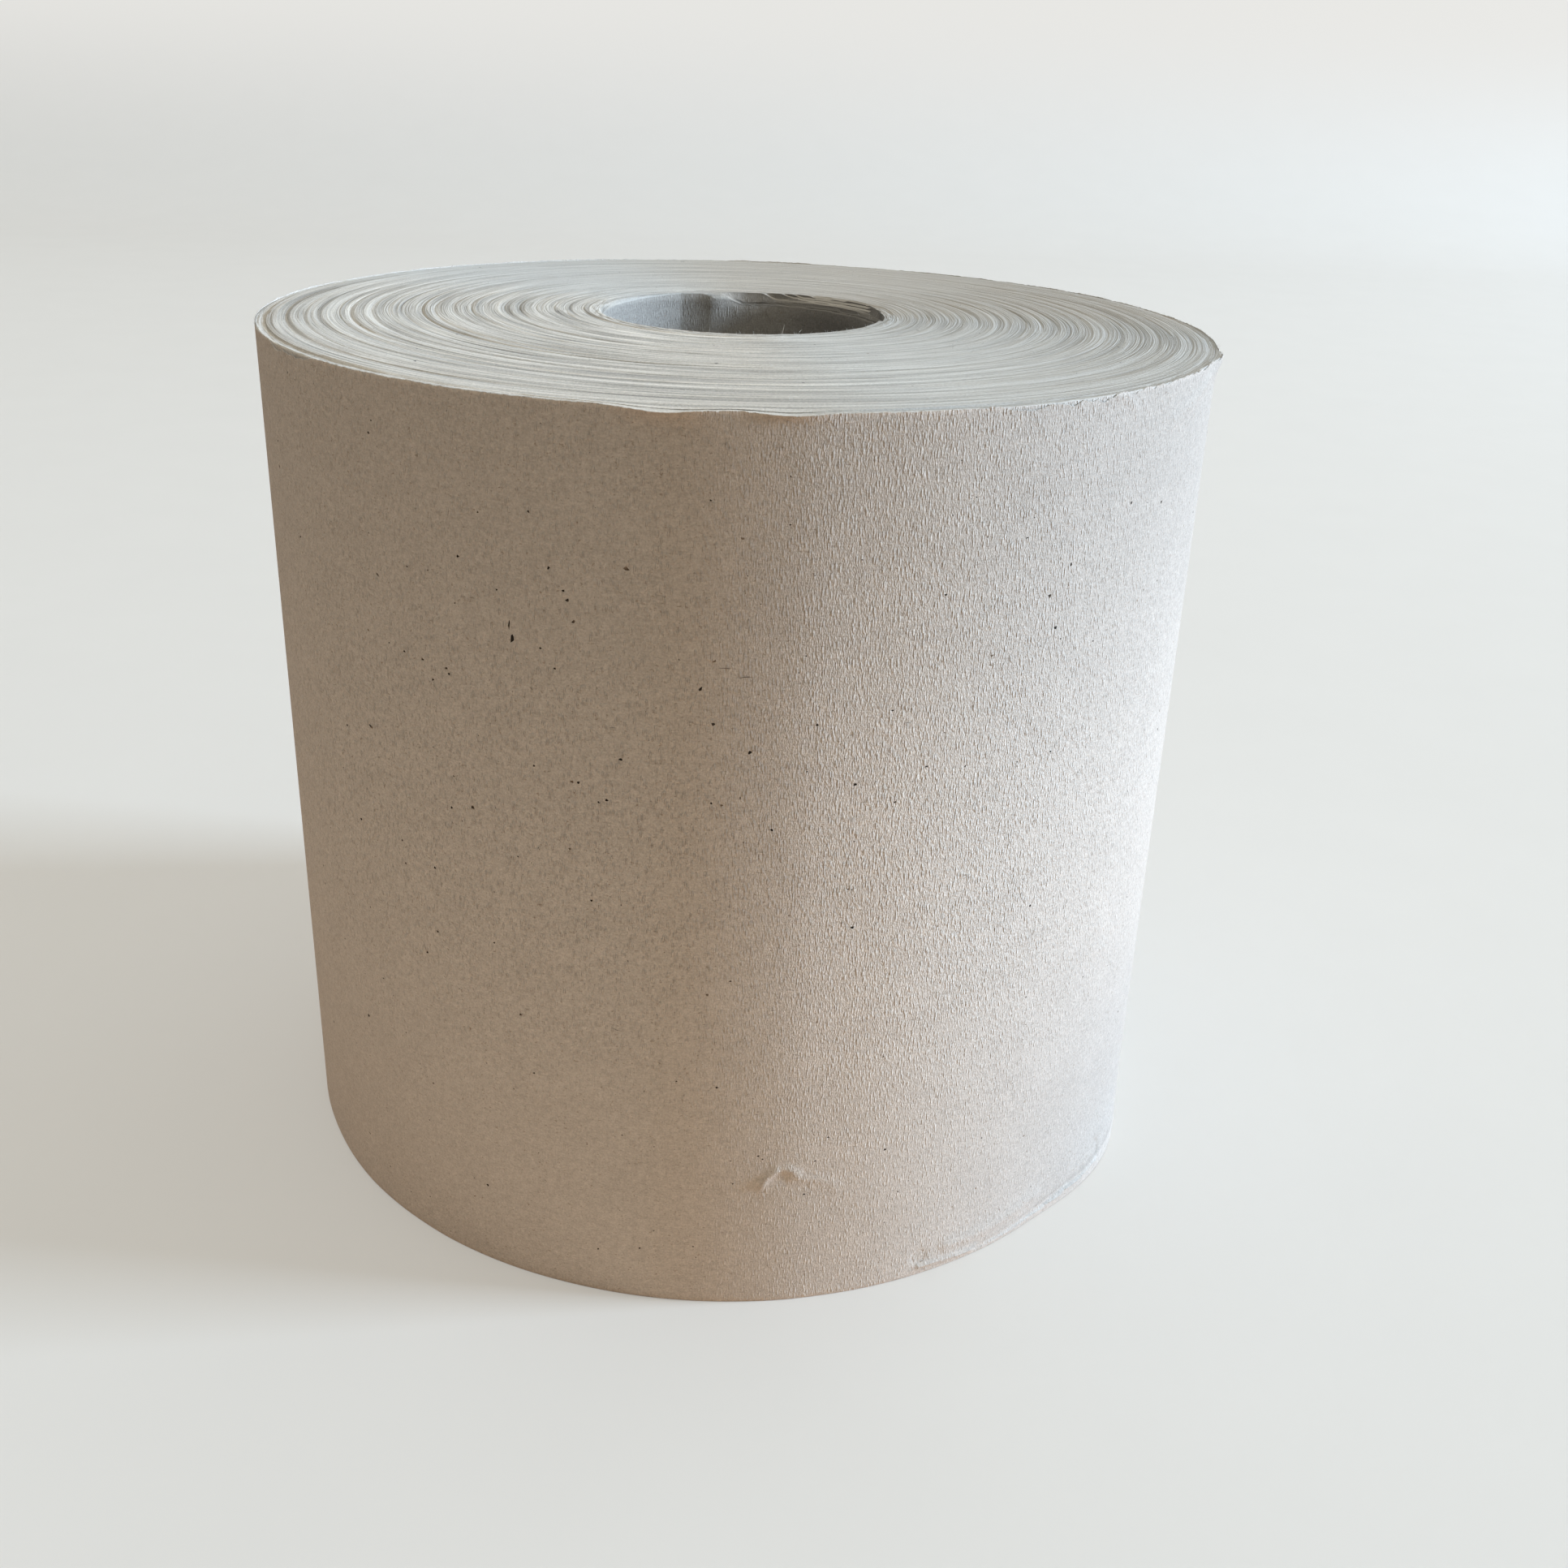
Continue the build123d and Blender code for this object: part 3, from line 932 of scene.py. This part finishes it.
def end_frame(top, angle, radius):
    """A point on the top end, found in its rows, with the ways along the turns, out and up."""
    column = round((angle - TAIL_ANGLE) % 360 / 360 * BODY_COLUMNS) % BODY_COLUMNS
    radii, heights = top
    height = np.interp(radius, radii[:, column], heights[:, column])
    out = Vector(placed(angle, 1, 0))
    up = Vector((0, 0, 1))
    return Vector(placed(angle, radius, height)), up.cross(out), out, up


def tilted(along, across, tilt):
    """Two ways on a surface, turned by a tilt."""
    turn = math.radians(tilt)
    ahead = along * math.cos(turn) + across * math.sin(turn)
    aside = across * math.cos(turn) - along * math.sin(turn)
    return ahead, aside


def add_speck(points, faces, place, length, width, tilt):
    """A flat lens of bark or ink, half sunk in the tissue."""
    point, along, across, out = place
    ahead, aside = tilted(along, across, tilt)
    first = len(points)
    for side in range(SPECK_SIDES):
        angle = 2 * math.pi * side / SPECK_SIDES
        half = (1 + SPECK_UNEVEN * math.sin(3 * angle + first)) / 2
        step = ahead * (length * math.cos(angle)) + aside * (width * math.sin(angle))
        points.append(point + step * half)
    points.append(point + out * SPECK_RISE)
    points.append(point - out * SPECK_ROOT)
    for side in range(SPECK_SIDES):
        following = (side + 1) % SPECK_SIDES
        faces.append([first + side, first + following, first + SPECK_SIDES])
        faces.append([first + following, first + side, first + SPECK_SIDES + 1])


def add_hair(points, faces, line, width):
    """A thin closed hair along a line of points, pointed at both ends."""
    first = len(points)
    steps = len(line)
    for step, point in enumerate(line):
        ahead = line[min(step + 1, steps - 1)] - line[max(step - 1, 0)]
        side = ahead.orthogonal().normalized()
        other = ahead.cross(side).normalized()
        half = width / 2 * (FIBRE_POINT + (1 - FIBRE_POINT) * math.sin(math.pi * step / (steps - 1)))
        for corner in range(FIBRE_SIDES):
            angle = 2 * math.pi * corner / FIBRE_SIDES
            points.append(point + (side * math.cos(angle) + other * math.sin(angle)) * half)
    for here in range(first, first + (steps - 1) * FIBRE_SIDES, FIBRE_SIDES):
        for corner in range(FIBRE_SIDES):
            following = (corner + 1) % FIBRE_SIDES
            there = here + FIBRE_SIDES
            faces.append([here + corner, here + following, there + following, there + corner])
    faces.append([first + corner for corner in reversed(range(FIBRE_SIDES))])
    last = first + (steps - 1) * FIBRE_SIDES
    faces.append([last + corner for corner in range(FIBRE_SIDES)])


def bent_line(place, length, tilt, bend):
    """Points of a fibre that lies sunk in a surface, bowed to one side."""
    point, along, across, out = place
    ahead, aside = tilted(along, across, tilt)
    line = []
    for share in np.linspace(-1, 1, FIBRE_STEPS * 2).tolist():
        bowed = ahead * length / 2 * share + aside * length * bend * (1 - share**2)
        line.append(point - out * FIBRE_SINK + bowed)
    return line


def build_pulp_specks(shape, finish, top):
    """Specks of bark and ink in the recycled pulp, those that can be told apart and many strays."""
    random = np.random.default_rng(SEED + 3)
    points = []
    faces = []

    def on_side(angle, height):
        return side_frame(shape, angle, height * MM)

    def on_end(angle, radius):
        return end_frame(top, angle, radius * MM)

    for frame_at, specks in ((on_side, SIDE_SPECKS), (on_end, END_SPECKS)):
        for angle, reach, length, width, tilt in specks:
            add_speck(points, faces, frame_at(angle, reach), length * MM, width * MM, tilt)
    for angle, height, length, width, tilt, bend in SIDE_FIBRES:
        add_hair(points, faces, bent_line(on_side(angle, height), length * MM, tilt, bend), width * MM)
    for frame_at, (count, reach, size, narrowest, tilt) in ((on_side, SIDE_STRAYS), (on_end, END_STRAYS)):
        for _ in range(count):
            place = frame_at(random.uniform(-180, 180), random.uniform(*reach))
            length = random.gamma(STRAY_SPREAD, size) * MM + SMALLEST_SPECK
            width = length * random.uniform(narrowest, STRAY_ROUNDEST)
            add_speck(points, faces, place, length, width, random.normal(0, tilt))
    return keep_mesh("pulp_specks", np.array(points), faces, [speck_finish(finish)])


def build_loose_fibres(shape, finish, top):
    """White fibres that stand out of the cut edges."""
    random = np.random.default_rng(SEED + 4)
    points = []
    faces = []
    bore = bore_radius(shape)
    shares = [step / (FIBRE_STEPS - 1) for step in range(FIBRE_STEPS)]
    roots = [(angle, bore + MOUTH_FIBRE_PLACE, length) for angle, length in MOUTH_FIBRES]
    for _ in range(STRAY_FIBRES):
        at_mouth = random.uniform() < STRAY_AT_MOUTH
        radius = bore + random.uniform(*STRAY_MOUTH) if at_mouth else random.uniform(*STRAY_END)
        roots.append((random.uniform(-180, 180), radius, random.uniform(*STRAY_LENGTHS)))
    for angle, radius, length in roots:
        point, along, out, up = end_frame(top, angle, radius)
        sideways = along * random.normal(0, STRAY_SWAY) + out * random.normal(0, STRAY_SWAY)
        bend = along * random.normal(0, STRAY_BEND) + out * random.normal(0, STRAY_BEND)
        line = [point + (up + sideways) * length * (share - FIBRE_ROOT) + bend * length * share**2
                for share in shares]
        add_hair(points, faces, line, FIBRE_WIDTH * (2 if length > LONG_FIBRE else 1))
    for _ in range(RIM_FIBRES):
        angle = random.uniform(-180, 180)
        height = top_edge(shape, angle) - random.uniform(0, RIM_FIBRE_DROP)
        point, along, up, out = side_frame(shape, angle, height)
        sideways = along * random.normal(0, RIM_FIBRE_SWAY) + out * random.normal(*RIM_FIBRE_OUT)
        reach = (up * RIM_FIBRE_RISE + sideways) * random.uniform(*RIM_FIBRE_LENGTHS)
        add_hair(points, faces, [point + reach * share for share in shares], FIBRE_WIDTH)
    return keep_mesh("loose_fibres", np.array(points), faces, [lint_finish(finish)])


def top_rows_of(piece, shape):
    """Radii and heights of the rows of the top end, read back from the wound turns."""
    count = len(SLIPPED) * len(SLIP_SHARES) + shape.band_count * len(BAND_SHARES) + len(RIM_SHARES)
    points = np.empty(len(piece.data.vertices) * 3)
    piece.data.vertices.foreach_get("co", points)
    points = points.reshape(-1, BODY_COLUMNS, 3)[:count]
    return np.hypot(points[..., 0], points[..., 1]), points[..., 2]


# Materials

class Wire:
    """A socket that takes part in Python expressions: each operator adds its Math node."""

    def __init__(self, recipe, socket):
        self.recipe = recipe
        self.socket = socket

    def __add__(self, other):
        return self.recipe.math("ADD", self, other)

    def __radd__(self, other):
        return self.recipe.math("ADD", other, self)

    def __sub__(self, other):
        return self.recipe.math("SUBTRACT", self, other)

    def __rsub__(self, other):
        return self.recipe.math("SUBTRACT", other, self)

    def __mul__(self, other):
        return self.recipe.math("MULTIPLY", self, other)

    def __rmul__(self, other):
        return self.recipe.math("MULTIPLY", other, self)


class Recipe:
    """The nodes of one material, or of the world."""

    def __init__(self, owner):
        self.owner = owner
        owner.use_nodes = True
        self.tree = owner.node_tree
        self.tree.nodes.clear()

    def node(self, kind, settings=None, sockets=None, output=0):
        """Add a node, set its settings first and then the values or links of its sockets."""
        made = self.tree.nodes.new(kind)
        for name, value in (settings or {}).items():
            setattr(made, name, value)
        for name, value in (sockets or {}).items():
            if isinstance(value, Wire):
                self.tree.links.new(value.socket, made.inputs[name])
            else:
                made.inputs[name].default_value = value
        return Wire(self, made.outputs[output]) if len(made.outputs) else made

    def math(self, operation, *values):
        """A number worked out by a Math node."""
        return self.node("ShaderNodeMath", {"operation": operation}, dict(enumerate(values)))

    def vector(self, operation, *values, output=0):
        """A vector or colour worked out by a Vector Math node, or a length at its second output."""
        return self.node("ShaderNodeVectorMath", {"operation": operation}, dict(enumerate(values)), output)

    def place(self):
        """Where a point is on the roll, in metres."""
        return self.node("ShaderNodeTexCoord", output=3)

    def parts(self, vector):
        """The three parts of a vector."""
        first = self.node("ShaderNodeSeparateXYZ", None, {"Vector": vector})
        return [Wire(self, socket) for socket in first.socket.node.outputs]

    def grains(self, across, up):
        """A place counted in grains of a size across the roll and a size up it, in mm."""
        return self.vector("MULTIPLY", self.place(), (1 / (across * MM), 1 / (across * MM), 1 / (up * MM)))

    def noise(self, vector, detail, roughness=0.5):
        """Soft noise, with about one grain to a unit of its vector."""
        sockets = {"Vector": vector, "Scale": 1.0, "Detail": detail, "Roughness": roughness}
        return self.node("ShaderNodeTexNoise", {"noise_dimensions": "3D"}, sockets)

    def grainy(self, across, up, detail, roughness):
        """Noise in grains of given sizes."""
        return self.noise(self.grains(across, up), detail, roughness)

    def between(self, value, low, high):
        """0 below a value and 1 above another, with a soft ramp."""
        settings = {"interpolation_type": "SMOOTHSTEP", "clamp": True}
        sockets = {"Value": value, "From Min": low, "From Max": high}
        return self.node("ShaderNodeMapRange", settings, sockets)

    def stretch(self, value, start, end):
        """1 between the span where a stretch starts and the one where it ends."""
        return self.between(value, *start) - self.between(value, *end)

    def blend(self, share, first, second):
        """Two colours mixed by a share."""
        return self.node("ShaderNodeMix", {"data_type": "RGBA"}, {0: share, 6: first, 7: second}, output=2)

    def shaded(self, factor, colour):
        """A colour made darker or lighter by a factor."""
        return self.node("ShaderNodeVectorMath", {"operation": "SCALE"}, {0: colour, "Scale": factor})

    def paper_surface(self, colour, roughness, height, relief):
        """Matt paper with its relief, out to the material's surface."""
        bump = self.node("ShaderNodeBump", None, {"Height": height, "Distance": relief, "Strength": 1.0})
        sockets = {"Base Color": colour, "Roughness": roughness, "Normal": bump, **PAPER_SURFACE}
        surface = self.node("ShaderNodeBsdfPrincipled", None, sockets)
        self.node("ShaderNodeOutputMaterial", None, {"Surface": surface})
        return self.owner


def solid(colour):
    """A colour with its alpha."""
    return (*colour, 1)


def total(layers, shares):
    """Layers added up by their shares."""
    return sum(layers[name] * share for name, share in shares.items())


def uneven(level, layer):
    """A level with what a layer adds to it, from a pair of both."""
    base, rise = level
    return base + layer * rise


def tissue_finish(finish, name, shade=1.0, relief=1.0, dim=0.0):
    """The face of the tissue: fine upright crepe, level fibres, cloudy pulp, faint brown flecks, and
    painted light and shade.
    """
    recipe = Recipe(bpy.data.materials.new(name))
    east, _, height = recipe.parts(recipe.place())
    layers = {layer: recipe.grainy(*grain) for layer, grain in TISSUE_GRAINS.items()}
    sockets = {"Vector": recipe.grains(*FOLD_CELL), "Scale": 1.0}
    cells = recipe.node("ShaderNodeTexVoronoi", {"feature": "F1"}, sockets)
    layers["folds"] = 1 - recipe.between(cells, *FOLD_SPAN)
    # Painted highlight along the top edge of the last turn
    layers["painted top edge highlight"] = recipe.between(height, *PAINTED_TOP_EDGE)

    right = recipe.between(east, *RIGHT_HALF)
    far_right = recipe.between(east, *FAR_RIGHT)
    low_right = far_right * (1 - recipe.between(height, *LOW_PART))
    middle = recipe.stretch(height, MIDDLE_RISE, MIDDLE_FALL)
    slope = recipe.between(east, *BAND_SLOPE)
    over_band = height - slope * BAND_CLIMB
    # Painted highlight band above the foot at the right, and a painted shadow line over it
    foot_painted_highlight = slope * (1 - recipe.between(over_band, *BAND_TOP))
    foot_painted_shadow_line = slope * recipe.stretch(over_band, LINE_START, LINE_END)

    tone = (TISSUE_BASE + total(layers, TISSUE_TONE)) * shade
    tone = tone * (1 + foot_painted_highlight * FOOT_PAINTED_HIGHLIGHT - foot_painted_shadow_line * FOOT_PAINTED_SHADOW)
    # Painted light over the middle height, stronger on the right where the window light falls; dim paints
    # shade on the right half
    tone = tone * (1 - right * dim) * (1 + middle * (MIDDLE_PAINTED_LIGHT + right * MIDDLE_RIGHT_PAINTED_LIGHT))
    # Painted shade on the far right and the lower right of the side
    tone = tone * (1 - low_right * LOW_RIGHT_PAINTED_SHADE - far_right * FAR_RIGHT_PAINTED_SHADE)
    # Painted cool light on the lower right
    cast = recipe.blend(low_right, solid(PLAIN_CAST), solid(LOW_RIGHT_PAINTED_COOL_LIGHT))
    # Painted warm bounce light in an upright strip just right of the axis
    cast = recipe.blend(recipe.stretch(east, WARM_START, WARM_END), cast, solid(PAINTED_WARM_BOUNCE))
    paper = recipe.vector("MULTIPLY", cast, recipe.shaded(tone, tuple(finish.paper)))
    flecks = recipe.between(layers["flecks"], *FLECK_SPAN) * FLECK_STRENGTH
    colour = recipe.blend(flecks, paper, solid(finish.fleck))

    strength = FOOT_RELIEF + recipe.between(height, *RELIEF_RISE) * UPPER_RELIEF + middle * MIDDLE_RELIEF
    bumps = total(layers, TISSUE_RELIEF) * strength * (1 - far_right * FAR_RIGHT_CALM)
    roughness = uneven(TISSUE_ROUGHNESS, layers["mottle"])
    return recipe.paper_surface(colour, roughness, bumps, finish.crepe_height * relief)


def cut_edge_finish(finish):
    """The cut edges of the turns on the ends: fine lines round the roll that come and go, fuzz, and painted
    light, shade and sheen.
    """
    recipe = Recipe(bpy.data.materials.new("cut_edges"))
    place = recipe.place()
    height = recipe.parts(place)[2]
    flat = recipe.vector("MULTIPLY", place, (1, 1, 0))
    radius = recipe.vector("LENGTH", flat, output=1)
    east, north, _ = recipe.parts(recipe.vector("NORMALIZE", flat))
    layers = {layer: recipe.grainy(*grain) for layer, grain in CUT_GRAINS.items()}
    for layer, (width, drift, detail) in TURN_LINES.items():
        turns = {"X": radius * (1 / (width * MM)), "Y": east * drift, "Z": north * drift}
        layers[layer] = recipe.noise(recipe.node("ShaderNodeCombineXYZ", None, turns), detail)
    # Crests and the outer edge get painted highlights in the tone, and the gaps painted shade
    layers["crests"] = 1 - recipe.between(recipe.math("ABSOLUTE", layers["several"] - 0.5), *CREST_SPAN)
    layers["gaps"] = recipe.between(layers["single"], *GAP_SPAN)
    layers["outer edge"] = recipe.between(radius, *OUTER_EDGE)
    leaning = recipe.math("FRACT", radius * (1 / LEANING_WIDTH) + layers["bands"] * LEANING_DRIFT)

    # Painted shade on the slipped turns deep in the mouth
    slipped = (1 - recipe.between(radius, *SLIPPED_RADII)) * recipe.between(east + north, *SLIPPED_SIDE)
    sunk = slipped * (1 - recipe.between(height, *SLIPPED_HEIGHTS))
    # Painted highlight on the near edge of the mouth
    mouth = 1 - recipe.between(radius, *MOUTH_RADII)
    far_side = recipe.between(north, *MOUTH_FAR_SIDE)
    # Painted shade on the left lip of the mouth
    left_lip_painted_shade = mouth * far_side * (1 - recipe.between(east, *LIP_LEFT))
    # Painted sheen, lighter and cooler, at the far left and near right of the end
    across = 0 - east * north

    # The lines stand partly for the shading of the rings, so they are painted weaker to the right and the
    # back, where the light gives the rings less contrast
    strength = (LINES_STRENGTH - recipe.between(east, *LINES_FADE_EAST) * LINES_LOST_EAST
                - recipe.between(north, *LINES_FADE_NORTH) * LINES_LOST_NORTH)
    tone = CUT_BASE + (total(layers, LINE_TONE) - LINE_MEAN) * strength + total(layers, CUT_TONE)
    tone = tone * (1 - sunk * SLIPPED_PAINTED_SHADE) * (1 + mouth * (1 - far_side) * MOUTH_PAINTED_HIGHLIGHT)
    tone = tone * (1 - left_lip_painted_shade * LIP_PAINTED_SHADE) * (1 + recipe.between(across, *CORNERS) * CORNERS_PAINTED_SHEEN)
    # Painted shade towards the right and the back of the end, and painted light towards its front and back
    level = END_LEVEL - recipe.between(east, *DARKER_EAST) * EAST_PAINTED_SHADE - north * NORTH_PAINTED_SHADE
    tone = tone * (level + north * north * ENDS_PAINTED_LIGHT)
    warm, cool = CUT_TINT_AND_SHEEN
    cast = recipe.blend(recipe.between(across + east * CAST_TURN, *CORNERS), solid(warm), solid(cool))
    paper = recipe.shaded(tone, recipe.vector("MULTIPLY", cast, tuple(finish.paper)))

    outwards = recipe.between(radius, *OUTWARDS)
    bumps = total(layers, CUT_RELIEF) + leaning * (LEANING_RELIEF + outwards * LEANING_OUTWARDS)
    bumps = bumps * (1 - recipe.between(east, *CALMER_EAST) * EAST_CALM)
    return recipe.paper_surface(paper, CUT_ROUGHNESS, bumps, CUT_HEIGHT)


def speck_finish(finish):
    """Bark and ink, from nearly black to brown."""
    recipe = Recipe(bpy.data.materials.new("pulp_speck"))
    kind = recipe.between(recipe.grainy(*SPECK_KINDS), *SPECK_KIND_SPAN)
    grain = recipe.grainy(*SPECK_GRAIN)
    colour = recipe.blend(kind, solid(finish.speck), solid(finish.fleck))
    return recipe.paper_surface(colour, uneven(SPECK_ROUGHNESS, grain), grain, SPECK_RELIEF)


def lint_finish(finish):
    """Bleached fibres."""
    recipe = Recipe(bpy.data.materials.new("lint"))
    grain = recipe.grainy(*LINT_GRAIN)
    colour = recipe.shaded(uneven(LINT_TONE, grain), tuple(finish.lint))
    return recipe.paper_surface(colour, uneven(LINT_ROUGHNESS, grain), grain, LINT_RELIEF)


def room_light(studio):
    """Even light from the walls of the room, which grows stronger towards its ceiling."""
    world = bpy.data.worlds.new("room")
    recipe = Recipe(world)
    height = recipe.parts(recipe.node("ShaderNodeTexCoord"))[2]
    upwards = recipe.between(height, 0, HORIZON_HEIGHT)
    strength = studio.fill_level + upwards * (studio.ceiling_level - studio.fill_level)
    sockets = {"Color": solid(studio.room_colour), "Strength": strength}
    light = recipe.node("ShaderNodeBackground", None, sockets)
    recipe.node("ShaderNodeOutputWorld", None, {"Surface": light})
    return world


def floor_finish(studio):
    """A plain pale floor, which throws back the warm light of a wooden one."""
    recipe = Recipe(bpy.data.materials.new("studio_floor"))
    place = recipe.place()
    wall = recipe.between(recipe.parts(place)[2], *WALL_START)
    pale = recipe.shaded(uneven(FLOOR_TONE, recipe.grainy(*FLOOR_GRAIN)), tuple(studio.floor))
    matt = recipe.node("ShaderNodeBsdfDiffuse", None, {"Color": pale})
    glow = recipe.node("ShaderNodeEmission", None, {"Color": solid(studio.floor), "Strength": GLOW_LEVEL})
    seen = recipe.node("ShaderNodeMixShader", None, {0: FLOOR_GLOW + wall * WALL_GLOW, 1: matt, 2: glow})
    away = recipe.vector("LENGTH", place, output=1)
    near = 1 - recipe.between(away, *BOUNCE_REACH) * BOUNCE_LOSS
    warm = recipe.blend(wall, recipe.shaded(near, tuple(studio.bounce)), solid(studio.floor))
    thrown = recipe.node("ShaderNodeBsdfDiffuse", None, {"Color": warm})
    camera_ray = recipe.node("ShaderNodeLightPath")
    surface = recipe.node("ShaderNodeMixShader", None, {0: camera_ray, 1: thrown, 2: seen})
    recipe.node("ShaderNodeOutputMaterial", None, {"Surface": surface})
    return recipe.owner


# Studio

def build_floor(studio):
    """A floor that sweeps up into a backdrop."""
    profile = [(FLOOR_FRONT, 0.0)]
    for step in range(SWEEP_STEPS + 1):
        angle = math.pi / 2 * step / SWEEP_STEPS
        profile.append((FLOOR_BACK + SWEEP_RADIUS * math.sin(angle), SWEEP_RADIUS * (1 - math.cos(angle))))
    profile.append((FLOOR_BACK + SWEEP_RADIUS, BACKDROP_HEIGHT))
    points = [(side * FLOOR_WIDTH / 2, y, z) for side in (-1, 1) for y, z in profile]
    count = len(profile)
    faces = [[step, step + 1, count + step + 1, count + step] for step in range(count - 1)]
    mesh = bpy.data.meshes.new("studio_floor")
    mesh.from_pydata(points, [], faces)
    mesh.polygons.foreach_set("use_smooth", [True] * len(faces))
    mesh.materials.append(floor_finish(studio))
    floor = bpy.data.objects.new("studio_floor", mesh)
    bpy.context.scene.collection.objects.link(floor)


def hang_lamp(name, colour, level, azimuth, elevation, distance, size):
    """A square soft lamp that shines on the roll, with a level of 1 where plain white would look white."""
    light = bpy.data.lights.new(name, "AREA")
    light.shape = "SQUARE"
    light.size = size
    light.color = colour
    light.energy = level * (math.pi * distance) ** 2
    lamp = bpy.data.objects.new(name, light)
    flat = math.cos(elevation)
    towards = Vector((flat * math.cos(azimuth), flat * math.sin(azimuth), math.sin(elevation)))
    middle = Vector((0, 0, bpy.context.scene.roll_shape.roll_width / 2))
    facing = towards.to_track_quat("Z", "Y").to_matrix().to_4x4()
    lamp.matrix_world = Matrix.Translation(middle + towards * distance) @ facing
    bpy.context.scene.collection.objects.link(lamp)


def build_lights(studio):
    """A cool window on the right, a soft lamp behind, and the light of the room."""
    hang_lamp("window", tuple(studio.key_colour), studio.key_level, studio.key_azimuth,
              studio.key_elevation, KEY_DISTANCE, KEY_SIZE)
    hang_lamp("back_light", (1, 1, 1), studio.sky_level, studio.sky_azimuth,
              studio.sky_elevation, SKY_DISTANCE, SKY_SIZE)
    bpy.context.scene.world = room_light(studio)


def build_camera():
    """The camera at the photograph's viewing angle."""
    aim = Vector(CAMERA_AIM).normalized()
    right = aim.cross(Vector((0, 0, 1))).normalized()
    up = right.cross(aim)
    cos_roll = math.cos(CAMERA_ROLL)
    sin_roll = math.sin(CAMERA_ROLL)
    rolled_right = right * cos_roll + up * sin_roll
    rolled_up = up * cos_roll - right * sin_roll
    lens = bpy.data.cameras.new("camera")
    lens.lens = CAMERA_LENS
    lens.sensor_width = CAMERA_SENSOR
    lens.clip_start = CAMERA_NEAR
    camera = bpy.data.objects.new("camera", lens)
    axes = Matrix((rolled_right, rolled_up, -aim)).transposed().to_4x4()
    camera.matrix_world = Matrix.Translation(CAMERA_PLACE) @ axes
    bpy.context.scene.collection.objects.link(camera)
    bpy.context.scene.camera = camera


# Operators

def end_rows_of(scene):
    """The rows of the top end, once the wound turns are there."""
    piece = bpy.data.objects.get("wound_turns")
    if piece is None:
        raise RuntimeError("wound_turns has to be built first")
    return top_rows_of(piece, scene.roll_shape)


class TISSUE_OT_wound_turns(bpy.types.Operator):
    """Build the wound turns with the rings of both ends and the slipped turns in the mouth"""

    bl_idname = "tissue_roll.wound_turns"
    bl_label = "Wound turns"

    def execute(self, context):
        build_wound_turns(context.scene.roll_shape, context.scene.tissue_finish)
        return {"FINISHED"}


class TISSUE_OT_last_turn(bpy.types.Operator):
    """Build the last turn with its cut edge, ragged top, flares and creases"""

    bl_idname = "tissue_roll.last_turn"
    bl_label = "Last turn"

    def execute(self, context):
        build_last_turn(context.scene.roll_shape, context.scene.tissue_finish)
        return {"FINISHED"}


class TISSUE_OT_pulp_specks(bpy.types.Operator):
    """Strew the specks and brown fibres of recycled pulp over the tissue"""

    bl_idname = "tissue_roll.pulp_specks"
    bl_label = "Pulp specks"

    def execute(self, context):
        scene = context.scene
        build_pulp_specks(scene.roll_shape, scene.tissue_finish, end_rows_of(scene))
        return {"FINISHED"}


class TISSUE_OT_loose_fibres(bpy.types.Operator):
    """Set loose white fibres on the cut edges"""

    bl_idname = "tissue_roll.loose_fibres"
    bl_label = "Loose fibres"

    def execute(self, context):
        scene = context.scene
        build_loose_fibres(scene.roll_shape, scene.tissue_finish, end_rows_of(scene))
        return {"FINISHED"}


class TISSUE_OT_studio(bpy.types.Operator):
    """Set up the floor, the lights and the camera"""

    bl_idname = "tissue_roll.studio"
    bl_label = "Studio"

    def execute(self, context):
        build_floor(context.scene.studio_setup)
        build_lights(context.scene.studio_setup)
        build_camera()
        context.scene.view_settings.view_transform = "Standard"
        return {"FINISHED"}


OPERATORS = (
    TISSUE_OT_wound_turns,
    TISSUE_OT_last_turn,
    TISSUE_OT_pulp_specks,
    TISSUE_OT_loose_fibres,
    TISSUE_OT_studio,
)


class TISSUE_PT_roll(bpy.types.Panel):
    """The pieces of the roll and its studio"""

    bl_idname = "TISSUE_PT_roll"
    bl_label = "Tissue roll"
    bl_space_type = "VIEW_3D"
    bl_region_type = "UI"
    bl_category = "Tissue roll"

    def draw(self, context):
        scene = context.scene
        for group in (scene.roll_shape, scene.tissue_finish, scene.studio_setup):
            for name in group.__annotations__:
                self.layout.prop(group, name)
        for operator in OPERATORS:
            self.layout.operator(operator.bl_idname)


CLASSES = (RollShape, TissueFinish, StudioSetup, *OPERATORS, TISSUE_PT_roll)


def register():
    """Make the classes known and hang the groups of values on the scene."""
    for each in CLASSES:
        bpy.utils.register_class(each)
    bpy.types.Scene.roll_shape = PointerProperty(type=RollShape)
    bpy.types.Scene.tissue_finish = PointerProperty(type=TissueFinish)
    bpy.types.Scene.studio_setup = PointerProperty(type=StudioSetup)


def unregister():
    """Take all of it away again."""
    del bpy.types.Scene.studio_setup
    del bpy.types.Scene.tissue_finish
    del bpy.types.Scene.roll_shape
    for each in reversed(CLASSES):
        bpy.utils.unregister_class(each)


def main():
    """Build the roll and its studio."""
    register()
    bpy.ops.tissue_roll.wound_turns()
    bpy.ops.tissue_roll.last_turn()
    bpy.ops.tissue_roll.pulp_specks()
    bpy.ops.tissue_roll.loose_fibres()
    bpy.ops.tissue_roll.studio()


if __name__ == "__main__":
    main()
